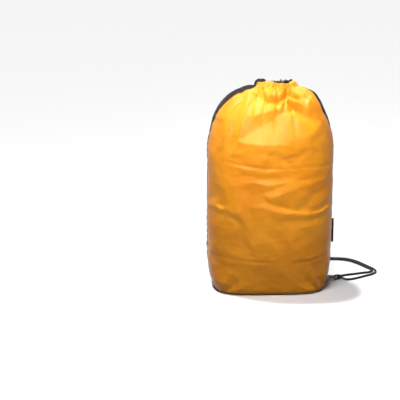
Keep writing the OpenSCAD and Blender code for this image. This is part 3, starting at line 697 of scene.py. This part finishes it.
def panel(name, keep, thickness, slot, *replaced):
    """A copy of the sack's cloth with only the faces whose middle (u, v, place) keep accepts."""
    bm = bmesh.new()
    bm.from_mesh(sack_cloth.data)
    uv = bm.loops.layers.uv["cloth"]
    gone = []
    for face in bm.faces:
        middle = sum((loop[uv].uv for loop in face.loops), Vector((0, 0))) / len(face.loops)
        if not keep(middle.x, middle.y, face.calc_center_median()):
            gone.append(face)
    bmesh.ops.delete(bm, geom=gone, context="FACES")
    piece = smooth_piece(name, bm)
    wall = piece.modifiers.new("thickness", "SOLIDIFY")
    wall.thickness, wall.offset = thickness, -1
    dress(piece, slot, "sack", *replaced)
    print(name, len(piece.data.polygons), "faces")
    return piece


front = panel("front_cloth", lambda u, v, p: u > SEAM_U, 0.0005, "coated_nylon", "front_panel", "front_casing")
back = panel("back_mesh", lambda u, v, p: u < SEAM_U and BACK_HEM < v < CHANNEL, 0.0004, "black_mesh", "mesh_panel")
band = panel("label_band_cloth", lambda u, v, p: u < SEAM_U and v < BACK_HEM and p.x > LABEL_SPLIT_X,
             0.0005, "label_black", "label_band")
patch = panel("label_patch_cloth", lambda u, v, p: u < SEAM_U and v < BACK_HEM and p.x < LABEL_SPLIT_X,
              0.0005, "label_silver", "label_patch")
channel_left = panel("channel_left", lambda u, v, p: GAP[1] < u < SEAM_U and v > CHANNEL,
                     0.0006, "black_casing", "back_casing_left")
channel_right = panel("channel_right", lambda u, v, p: u < GAP[0] and v > CHANNEL,
                      0.0006, "black_casing", "back_casing_right")
bpy.data.objects.remove(sack_cloth)

# %% [markdown]
# ## Bindings, tapes, tab and loop
#
# Each seam inside the sack is bound with a narrow black tape, and along the sides its edge shows as a
# thin dark line. Every tape is a flat strip, so one helper sweeps a strip's outline along a line, with
# its face turned the way it is told. Along the sides that line is the seam of the finished cloth.

# %% Strips
UPWARDS = np.array((0, 0, 1))


def strip_along(name, line, ups, width, thick, slot, replaced):
    """A flat strip with round edges along a line, its face towards ups."""
    half, r = width / 2 - thick / 2, thick / 2
    angles = (-math.pi / 2, -math.pi / 6, math.pi / 6, math.pi / 2)
    section = [(side * (half + r * math.cos(a)), side * r * math.sin(a)) for side in (1, -1) for a in angles]
    ahead = unit(np.gradient(line, axis=0))
    across = unit(np.cross(np.array(ups, float) * np.ones((len(line), 1)), ahead))
    dress(swept(name, line, across, np.cross(ahead, across), section), slot, "sack", replaced)


# %% Side bindings: each is turned, and shifted, a little towards the front (-) or the back (+)
for side, column, sign, start, ease in (("left", HALF, -1, 0, (-0.5, -0.0006)), ("right", 0, 1, 4, (0.9, 0.0008))):
    ups = np.linspace(HEIGHT[WALL_START + start], CHANNEL, 150)
    line = np.stack([np.interp(ups, HEIGHT, shaped[:, column, k]) for k in range(3)], -1)
    for _ in range(6):  # the tape is too stiff to follow each small pucker
        line[1:-1] = (line[:-2] + 2 * line[1:-1] + line[2:]) / 4
    outwards = unit(np.cross(unit(np.gradient(line, axis=0)), (0, 1, 0)) * sign)
    strip_along("side_seam_tape_" + side, line + outwards * 0.0008 + (0, ease[1], 0), outwards + (0, ease[0], 0),
                0.0034, 0.0013, "binding", "side_binding_" + side)

# %% Tapes over the seams of the base, and the hem tape inside the back's foot
TAPE, TAPE_Z = (0.009, 0.0006), 0.0012
for name, line_x, line_y, node in (
        ("base_seam_tape", np.linspace(-0.0702, 0.0702, 60), 0, "base_tape"),
        ("corner_seam_tape_left", -0.075, np.linspace(-0.0455, 0.0455, 40), "corner_tape_left"),
        ("corner_seam_tape_right", 0.075, np.linspace(-0.0455, 0.0455, 40), "corner_tape_right")):
    strip_along(name, np.stack(np.broadcast_arrays(line_x, line_y, TAPE_Z), -1), UPWARDS, *TAPE, "binding", node)
hem_columns = np.arange(20, HALF - 19, 2)
facing = OUTWARD[WALL_START + 4, hem_columns]
strip_along("back_hem_strip", shaped[WALL_START + 4, hem_columns] - facing * 0.0011, facing, *TAPE,
            "binding", "back_hem_tape")

# %% Side tab: a strip folded in two and caught in the seam
fold = [(0.1015, -0.0007), (0.1045, -0.0008), (0.1076, -0.0009)]
fold += [(0.1076 + 0.0009 * math.cos(a), 0.0009 * math.sin(a)) for a in np.linspace(-math.pi / 2, math.pi / 2, 9)[1:-1]]
fold += [(x, -y) for x, y in fold[2::-1]]
fold = np.array([(x, y, 0.0925) for x, y in fold])
strip_along("side_tab_fold", fold, np.cross(np.gradient(fold, axis=0), UPWARDS), 0.041, 0.0007, "binding", "side_tab")

# %% The webbing loop at the foot of the seam, and the clasp's directions
LOOP = np.array((0.097, 0.0028, 0.0077))
TURN, DIP = math.radians(21), math.radians(6.6)
LOOP_U = np.array([math.cos(TURN), math.sin(TURN), 0])
LOOP_V = np.array([-math.sin(TURN), math.cos(TURN), 0])
CLASP_U = math.cos(DIP) * LOOP_U - math.sin(DIP) * UPWARDS
CLASP_W = math.sin(DIP) * LOOP_U + math.cos(DIP) * UPWARDS
LOOP_R = 0.0018
path = [(u, LOOP_R) for u in (-0.009, -0.006, -0.003)]
path += [(LOOP_R * math.cos(a), LOOP_R * math.sin(a)) for a in np.linspace(math.pi / 2, -math.pi / 2, 15)]
path += [(u, -LOOP_R) for u in (-0.003, -0.006, -0.009)]
loop_line = np.array([LOOP + LOOP_U * u + UPWARDS * w for u, w in path])
middle = np.array([LOOP + LOOP_U * min(u, 0) for u, w in path])
strip_along("foot_loop", loop_line, loop_line - middle, 0.0076, 0.0010, "webbing", "webbing_loop")

# %% The bartack: a block of close stitches across the loop's upper face
BARTACK = LOOP - LOOP_U * 0.00195 + UPWARDS * 0.0023
bm = bmesh.new()
for k in range(11):
    ends = [BARTACK + LOOP_V * (k - 5) * 0.00056 + LOOP_U * u + UPWARDS * h
            for u, h in ((-0.00065, 0.0), (-0.0003, 0.0003), (0.0003, 0.0003), (0.00065, 0.0))]
    thread = tube("bartack_thread", np.array(ends), 0.00024, 6)
    bm.from_mesh(thread.data)
    bpy.data.objects.remove(thread)
bartack = smooth_piece("foot_loop_bartack", bm)
dress(bartack, "webbing", "sack", "loop_bartack")
print("bartack", len(bartack.data.polygons), "faces")

# %% [markdown]
# ## Stitches
#
# A sewing machine leaves a row of short straight stitches, each dipping into the cloth at both ends.
# Every stitch here is a slim spindle of thread, a cylinder drawn in at its ends, laid along its
# piece of the seam. They stay simple, because there are hundreds of them.

# %% Rows of stitches
def stitches(name, line, ups, slot, length=0.0026, gap=0.0012, thick=0.00045):
    """Spindles of thread along a line of points, held just above the cloth by ups."""
    ahead = way_along(line)
    bm = bmesh.new()
    for start in np.arange(gap, ahead[-1] - length, length + gap):
        at, to, up = (Vector([np.interp(s, ahead, values[:, k]) for k in range(3)])
                      for s, values in ((start, line), (start + length, line), (start + length / 2, ups)))
        turn = (to - at).to_track_quat("Z", "Y").to_matrix().to_4x4()
        made = bmesh.ops.create_cone(bm, segments=6, radius1=thick / 2, radius2=thick / 2, depth=length * 0.6,
                                     matrix=Matrix.Translation((at + to) / 2 + up * thick * 0.6) @ turn)["verts"]
        caps = [f for f in {f for v in made for f in v.link_faces} if len(f.verts) == 6]
        for cap in caps:
            point = bmesh.ops.poke(bm, faces=[cap])["verts"][0]
            point.co += (point.co - (at + to) / 2) * 0.6 - up * thick * 0.7
    row = smooth_piece(name, bm)
    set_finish(row, slot)
    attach(row, "sack")
    print(name, len(row.data.polygons), "faces")
    return row


def along_cloth(row, column):
    """Points of the finished sheet along one of its rows or columns, and the outward directions there."""
    return shaped[row, column], OUTWARD[row, column]


seam_rows = np.arange(WALL_START + 6, CASING_START - 4)
front_stitches = [
    stitches("channel_stitches_front", *along_cloth(CASING_START - 2, np.arange(HALF + 3, COLUMNS - 3)),
             "coated_nylon"),
    stitches("side_stitches_left", *along_cloth(seam_rows, HALF + 2), "coated_nylon"),
    stitches("side_stitches_right", *along_cloth(seam_rows, COLUMNS - 2), "coated_nylon")]
back_stitches = [
    stitches("channel_stitches_back", *along_cloth(CASING_START - 3, np.arange(3, HALF - 3)), "binding"),
    stitches("foot_stitches_back", *along_cloth(WALL_START + 1, np.arange(6, HALF - 6)), "binding")]
for side, sign in (("front", 1), ("back", -1)):
    stitches("tab_stitches_" + side, np.array([[0.1026, -0.00125 * sign, z] for z in (0.0745, 0.1105)]),
             np.array([[0, -sign, 0]] * 2), "webbing", length=0.0020, gap=0.0009, thick=0.0004)

# %% The drawcord in its channel
sweep = np.linspace(math.radians(112), math.radians(428), 60)
share = np.linspace(0, 1, 60)
taper = smoothstep(0, 0.14, share) * smoothstep(0, 0.14, 1 - share)
draw_line = np.stack([MOUTH[0] * np.cos(sweep) + 0.0086 * taper, MOUTH[1] * np.sin(sweep),
                      MOUTH_Z + tilted(MOUTH[1] * np.sin(sweep)) * taper], -1)
dress(tube("drawcord_braid", draw_line, CORD_D / 2, 12), "braided_cord", "sack", "drawcord")

# %% [markdown]
# ## Bight and knot
#
# At the clasp one cord passes through the hook and back, and both are tied in one hard knot. The
# bight is the same braid swept through the hook. The knot is a closed tube that winds twice round
# and three times through, drawn tight, which reads as an overhand knot from every side.

# %% Bight through the hook
def at_clasp(u, v, w):
    """A place given along, across and above the clasp, from the loop it hangs on."""
    return LOOP + CLASP_U * u + LOOP_V * v + CLASP_W * w


BIGHT_U, BIGHT_V, BIGHT_R, KNOT_U = 0.01944, -0.0015, 0.003253, 0.02631
path = [(1.25, 0.9), (0.5, 1)]
path += [(math.cos(a), math.sin(a)) for a in np.linspace(math.pi / 2, 1.5 * math.pi, 17)]
path += [(0.5, -1), (1.25, -0.9)]
bight_line = np.array([at_clasp(BIGHT_U + BIGHT_R * u, BIGHT_V, BIGHT_R * w) for u, w in path])
dress(tube("bight_braid", bight_line, 0.0016, 14), "braided_cord", "clasp", "cord_bight")

# %% Knot
turns = np.linspace(0, 2 * math.pi, 97)
radius = 0.0023 + 0.0011 * np.cos(3 * turns)
knot_path = np.stack([KNOT_U + 0.00165 * np.sin(3 * turns), radius * np.cos(2 * turns), radius * np.sin(2 * turns)], -1)
knot = tube("knot_braid", np.array([at_clasp(*p) for p in knot_path]), 0.00155, 12, closed_ends=False)
dress(knot, "braided_cord", "clasp", "strap_knot")

for letter, (cord, tail, cord_line, tail_line) in laid.items():
    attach(cord, "sack")
    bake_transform(tail)

# %% [markdown]
# ## Materials
#
# Every surface starts from what the real one is and how it was made. One function turns an sRGB hex
# colour to the linear numbers that shaders take, and another adds a node with its values and links.
# Patterns of cloth read the "cloth" UV map, which is in metres along the threads, so a pitch in
# millimetres is worked out by dividing.

# %% Colour and node helpers
def linear(hex_colour):
    """An sRGB hex colour as linear red, green, blue and alpha."""
    channels = [int(hex_colour[i:i + 2], 16) / 255 for i in (0, 2, 4)]
    return [c / 12.92 if c <= 0.04045 else ((c + 0.055) / 1.055) ** 2.4 for c in channels] + [1]


def add_node(tree, kind, values=None, links=None, **settings):
    """Adds a node with its settings, the values of its sockets, and links from other nodes' outputs."""
    node = tree.nodes.new("ShaderNode" + kind)
    for key, value in settings.items():
        setattr(node, key, value)
    for socket, value in (values or {}).items():
        node.inputs[socket].default_value = value
    for socket, source in (links or {}).items():
        tree.links.new(source, node.inputs[socket])
    return node


def new_material(name, colour, **sockets):
    """A material, its node tree and its shader, with the shader's own sockets set."""
    made = bpy.data.materials.new(name)
    made.use_nodes = True
    shader = made.node_tree.nodes["Principled BSDF"]
    shader.inputs["Base Color"].default_value = linear(colour)
    for socket, value in sockets.items():
        shader.inputs[socket.replace("_", " ")].default_value = value
    return made, made.node_tree, shader


def cloth_material(name, colour, **sockets):
    """A new material, its tree and shader, and the cloth's own UV map as a place to start patterns from."""
    made, tree, shader = new_material(name, colour, **sockets)
    return made, tree, shader, add_node(tree, "UVMap", uv_map="cloth").outputs[0]


# %% Patterns of thread, colour and relief
RIGHT_ANGLE = math.pi / 2


def waves(tree, source, pitch_mm, turn=0.0):
    """A wave from -1 to 1 across the cloth, pitch_mm long, in a direction turned by turn radians."""
    axes = add_node(tree, "SeparateXYZ", links={0: source})
    along, across = (
        add_node(tree, "Math", {1: 2 * math.pi / (pitch_mm * MM) * share}, {0: axes.outputs[k]}, operation="MULTIPLY")
        for k, share in enumerate((math.cos(turn), math.sin(turn))))
    both = add_node(tree, "Math", links={0: along.outputs[0], 1: across.outputs[0]}, operation="ADD")
    return add_node(tree, "Math", links={0: both.outputs[0]}, operation="SINE").outputs[0]


def crossed(tree, source, pitch_mm, turns=(0.0, RIGHT_ANGLE)):
    """Threads that cross: the product of the waves in two directions."""
    first, second = (waves(tree, source, pitch_mm, turn) for turn in turns)
    return add_node(tree, "Math", links={0: first, 1: second}, operation="MULTIPLY").outputs[0]


def toned(tree, shader, dark, light, source, low=0.0, high=1.0):
    """Gives the shader a colour that goes from one tone to the other as source goes from low to high."""
    if (low, high) != (0.0, 1.0):
        source = add_node(tree, "MapRange", {"From Min": low, "From Max": high}, {"Value": source}).outputs[0]
    tone = add_node(tree, "Mix", {"A": linear(dark), "B": linear(light)}, {"Factor": source}, data_type="RGBA")
    tree.links.new(tone.outputs["Result"], shader.inputs["Base Color"])
    return tone.outputs["Result"]


def bumped(tree, shader, layers):
    """Chains bumps of (height, depth in mm, strength) and gives their normal to the shader."""
    normal = None
    for height, depth_mm, strength in layers:
        bump = add_node(tree, "Bump", {"Strength": strength, "Distance": depth_mm * MM}, {"Height": height})
        if normal:
            tree.links.new(normal, bump.inputs["Normal"])
        normal = bump.outputs["Normal"]
    tree.links.new(normal, shader.inputs["Normal"])


looks = {}

# %% [markdown]
# ### Coated nylon
#
# The front is a thin plain-woven nylon with a coating inside, calendered so that it has a soft
# gloss. It crumples into small soft dents a few centimetres across and hard little creases. The
# threads are a quarter of a millimetre apart and are drawn at 0.9 mm, so that they just show. The
# dye takes a little unevenly.

# %% Coated nylon
looks["coated_nylon"], tree, shader, uv = cloth_material("coated_nylon", "E38C22", Roughness=0.40,
                                                         Specular_IOR_Level=0.28)
soft = add_node(tree, "TexNoise", {"Scale": 60.0, "Detail": 4.0, "Roughness": 0.55}, {"Vector": uv}).outputs["Fac"]
crumple = add_node(tree, "TexNoise", {"Scale": 26.0, "Detail": 3.0, "Roughness": 0.5, "Distortion": 0.5},
                   {"Vector": uv}, noise_type="RIDGED_MULTIFRACTAL", normalize=True).outputs["Fac"]
bumped(tree, shader, [(soft, 2.0, 0.5), (crumple, 2.0, 0.5), (crossed(tree, uv, 0.9), 0.05, 0.25)])
patches = add_node(tree, "TexNoise", {"Scale": 14.0, "Detail": 3.0}, {"Vector": uv}).outputs["Fac"]
toned(tree, shader, "E0860E", "EC9A1E", patches, 0.3, 0.7)
gloss = add_node(tree, "MapRange", {"From Min": 0.3, "From Max": 0.7, "To Min": 0.35, "To Max": 0.46},
                 {"Value": soft})
tree.links.new(gloss.outputs[0], shader.inputs["Roughness"])

# %% [markdown]
# ### Black mesh
#
# The back is a knitted polyester net. Its holes are real openings: the shader's alpha is 0 inside
# rounded diamonds, so the orange lining of the front shows through it as a dark copper brown. The
# threads are drawn a warm dark brown rather than black, which paints some of the lining's orange
# light onto them. The net repeats every 2 mm, and the holes take up a little more than a third of it.

# %% Black mesh
looks["black_mesh"], tree, shader, uv = cloth_material("black_mesh", "1D1613", Roughness=0.7, Specular_IOR_Level=0.3)
NET_PITCH, THREAD_EDGE = 4.0, 0.46  # each wave crosses 0 twice in its pitch, so the net repeats at half of it
net = add_node(tree, "Math", links={0: crossed(tree, uv, NET_PITCH)}, operation="ABSOLUTE").outputs[0]
threads = add_node(tree, "Math", {1: THREAD_EDGE}, {0: net}, operation="LESS_THAN")
tree.links.new(threads.outputs[0], shader.inputs["Alpha"])
bumped(tree, shader, [(net, 0.3, 0.5)])
# the threads' tones are warm browns, not black: painted orange light from the lining behind them, varied at random
patches = add_node(tree, "TexNoise", {"Scale": 30.0, "Detail": 3.0}, {"Vector": uv}).outputs["Fac"]
toned(tree, shader, "17110E", "2C2019", patches)

# %% [markdown]
# ### Black nylon, binding and webbing
#
# The channel's back halves are plain black nylon, matt and finely woven. The seam tapes are
# grosgrain, whose ribs run across the tape every 0.6 mm and are drawn at 0.9 mm. The loop is
# webbing in a herringbone of 1.6 mm.

# %% Black nylon
looks["black_casing"], tree, shader, uv = cloth_material("black_nylon", "131315", Roughness=0.55,
                                                         Specular_IOR_Level=0.35)
soft = add_node(tree, "TexNoise", {"Scale": 160.0, "Detail": 2.0}, {"Vector": uv}).outputs["Fac"]
bumped(tree, shader, [(soft, 0.6, 0.4), (crossed(tree, uv, 0.8), 0.08, 0.5)])
toned(tree, shader, "0D0D0F", "19191D", soft)

# %% Grosgrain binding
looks["binding"], tree, shader, uv = cloth_material("grosgrain_binding", "141416", Roughness=0.7,
                                                    Specular_IOR_Level=0.35)
ribs = waves(tree, uv, 0.9, RIGHT_ANGLE)
weave = add_node(tree, "Math", links={0: waves(tree, uv, 0.7), 1: ribs}, operation="MULTIPLY").outputs[0]
bumped(tree, shader, [(ribs, 0.12, 0.8), (weave, 0.05, 0.4)])
toned(tree, shader, "0A0A0B", "1E1E21", ribs, -1.0)

# %% Herringbone webbing
looks["webbing"], tree, shader, uv = cloth_material("herringbone_webbing", "161618", Roughness=0.66,
                                                    Specular_IOR_Level=0.35)
axes = add_node(tree, "SeparateXYZ", links={0: uv})
zigzag = add_node(tree, "Math", {1: 0.0016}, {0: axes.outputs[0]}, operation="PINGPONG")
slanted = add_node(tree, "Math", links={0: axes.outputs[1], 1: zigzag.outputs[0]}, operation="ADD")
wave = add_node(tree, "Math", {1: 2 * math.pi / (0.9 * MM)}, {0: slanted.outputs[0]}, operation="MULTIPLY")
threads = add_node(tree, "Math", links={0: wave.outputs[0]}, operation="SINE").outputs[0]
bumped(tree, shader, [(threads, 0.12, 0.8)])
toned(tree, shader, "0B0B0C", "242428", threads, -1.0)

# %% [markdown]
# ### Braided cord
#
# The cord is a braided polyester sheath over a straight core. Eight strands run each way round it,
# so its surface is a net of small diamonds, each one a strand that comes up and dives again. The
# cord's UV map is in metres round and along it, and its strands cross every 1.4 mm round it.

# %% Braided cord
looks["braided_cord"], tree, shader, uv = cloth_material("braided_cord", "131312", Roughness=0.6,
                                                         Specular_IOR_Level=0.35)
AROUND, ALONG = math.pi * CORD_D / 8 / MM, 1.7  # mm from strand to strand, round the cord and along it
lay = math.atan2(1 / ALONG, 1 / AROUND)
strands = crossed(tree, uv, 1 / math.hypot(1 / AROUND, 1 / ALONG), (lay, -lay))
bumped(tree, shader, [(strands, 0.35, 0.9)])
toned(tree, shader, "070707", "222120", strands, -1.0)

# %% [markdown]
# ### Label strip
#
# The strip on the base is satin-faced polyester tape, black for most of its length and silver at one
# end. It stays bare, apart from plain ruled lines 7 mm apart on the silver part.

# %% Label strip
RULED_X, RULED_Y = (-0.072, -0.026), (0.018, 0.046)
RULE_PITCH, RULE_HALF_WIDTH = 0.007, 0.0004


def label(name, dark, light, line_colour=None):
    """Satin tape: fine threads, soft gloss, and plain ruled lines if they have a colour."""
    made, tree, shader = new_material(name, light, Roughness=0.38, Coat_Weight=0.1, Coat_Roughness=0.35)
    place = add_node(tree, "TexCoord").outputs["Object"]
    soft = add_node(tree, "TexNoise", {"Scale": 45.0, "Detail": 3.0}, {"Vector": place}).outputs["Fac"]
    bumped(tree, shader, [(soft, 0.8, 0.4), (waves(tree, place, 0.8), 0.05, 0.5)])
    satin = toned(tree, shader, dark, light, soft)
    if line_colour:
        x, y, _ = add_node(tree, "SeparateXYZ", links={0: place}).outputs
        spaced = add_node(tree, "Math", {1: RULE_PITCH / 2}, {0: y}, operation="PINGPONG").outputs[0]
        mask = add_node(tree, "Math", {1: RULE_HALF_WIDTH}, {0: spaced}, operation="LESS_THAN").outputs[0]
        for axis, limits in ((x, RULED_X), (y, RULED_Y)):
            for limit, side in zip(limits, ("GREATER_THAN", "LESS_THAN")):
                inside = add_node(tree, "Math", {1: limit}, {0: axis}, operation=side).outputs[0]
                mask = add_node(tree, "Math", links={0: mask, 1: inside}, operation="MULTIPLY").outputs[0]
        ruled = add_node(tree, "Mix", {"B": linear(line_colour)}, {"Factor": mask, "A": satin}, data_type="RGBA")
        tree.links.new(ruled.outputs["Result"], shader.inputs["Base Color"])
    return made


looks["label_black"] = label("label_black_satin", "101012", "1E1E22")
looks["label_silver"] = label("label_silver_satin", "C2C5C9", "DADCDF", "3A3B3E")

# %% [markdown]
# ### Metal
#
# The clasp is die-cast zinc with a gunmetal plating: smooth, a little worn at its high places, with
# a faint orange-peel texture. Its pin and spring are bright drawn steel.

# %% Gunmetal and steel
def metal(name, dark, light, rough):
    """Plated or drawn metal: two tones where it is worn, and a faint relief."""
    made, tree, shader = new_material(name, light, Metallic=1.0, Roughness=rough)
    place = add_node(tree, "TexCoord").outputs["Object"]
    worn = add_node(tree, "TexNoise", {"Scale": 400.0, "Detail": 4.0}, {"Vector": place}).outputs["Fac"]
    peel = add_node(tree, "TexNoise", {"Scale": 1500.0, "Detail": 2.0}, {"Vector": place}).outputs["Fac"]
    bumped(tree, shader, [(peel, 0.05, 0.3)])
    toned(tree, shader, dark, light, worn)
    gloss = add_node(tree, "MapRange", {"To Min": rough - 0.08, "To Max": rough + 0.12}, {"Value": worn})
    tree.links.new(gloss.outputs[0], shader.inputs["Roughness"])
    return made


gunmetal = metal("gunmetal_plating", "3E3C3D", "6E6B6A", 0.34)
steel = metal("drawn_steel", "9A9A9C", "C4C4C6", 0.25)

# %% Give every piece its material
finishes = [(piece, looks[piece["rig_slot"]]) for piece in bpy.context.scene.objects
            if piece.type == "MESH" and "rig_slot" in piece]
finishes += [(nodes[name], gunmetal) for name in ("swivel_eye", "clasp_body", "clasp_gate")]
finishes += [(nodes[name], steel) for name in ("gate_pin", "gate_spring")]
for piece, look in finishes:
    piece.data.materials.clear()
    piece.data.materials.append(look)
print("materials given to", len(finishes), "pieces")

# %% [markdown]
# ## Light and floor
#
# A high sun from behind the left shoulder picks out the tops of the folds. A round soft box hangs
# close above the front, so steeply that the wall only catches it at a grazing angle: small folds
# show, and the light falls off towards the foot. A weak round lamp with a narrow spread, as with a
# grid in front of it, lifts the middle of the front a little. The floor is a large plain sheet.
# The world and the floor are white to the camera and in reflections. To everything else they are a
# pale grey, which throws a little light back.

# %% World and floor
def split_by_ray(owner, kind, direct, other, output):
    """One surface for rays from the camera and from glossy and clear surfaces, another for all other light."""
    owner.use_nodes = True
    tree = owner.node_tree
    tree.nodes.clear()
    path = add_node(tree, "LightPath").outputs
    directly = path["Is Camera Ray"]
    for ray in ("Is Transmission Ray", "Is Glossy Ray"):
        directly = add_node(tree, "Math", links={0: directly, 1: path[ray]}, operation="MAXIMUM").outputs[0]
    seen, unseen = (add_node(tree, kind, values).outputs[0] for values in (direct, other))
    mix = add_node(tree, "MixShader", links={0: directly, 1: unseen, 2: seen})
    add_node(tree, output, links={"Surface": mix.outputs[0]})


WHITE = (1, 1, 1, 1)
world = bpy.data.worlds.new("studio")
bpy.context.scene.world = world
split_by_ray(world, "Background", {"Color": WHITE, "Strength": 1.0}, {"Color": WHITE, "Strength": 0.085}, "OutputWorld")

bm = bmesh.new()
bmesh.ops.create_grid(bm, x_segments=1, y_segments=1, size=15)
floor = smooth_piece("floor", bm)
paper = bpy.data.materials.new("paper_floor")
split_by_ray(paper, "BsdfDiffuse", {"Color": (0.80, 0.80, 0.80, 1)}, {"Color": (0.10, 0.10, 0.10, 1)}, "OutputMaterial")
floor.data.materials.append(paper)

# %% Lamps
def lamp(name, kind, place, towards, **settings):
    """A lamp at a place, turned towards another, with its own settings. It doesn't show itself to the camera."""
    made = placed(name, bpy.data.lights.new(name, kind))
    for key, value in settings.items():
        setattr(made.data, key, value)
    made.location = place
    made.rotation_euler = (Vector(towards) - made.location).to_track_quat("-Z", "Y").to_euler()
    made.visible_camera = False


lamp("sun", "SUN", (-0.20, 0.16, 1), (0, 0, 0), energy=3.4, angle=math.radians(5))
lamp("soft_box", "AREA", (-0.08, -0.33, 0.87), (0, 0, 0.2), shape="DISK", size=0.40, energy=6.0)
lamp("grid_lamp", "AREA", (-0.16, -1.0, 0.62), (0, 0, 0.24), shape="DISK", size=0.25, energy=0.20,
     spread=math.radians(24))
bpy.context.scene.view_settings.view_transform = "Standard"
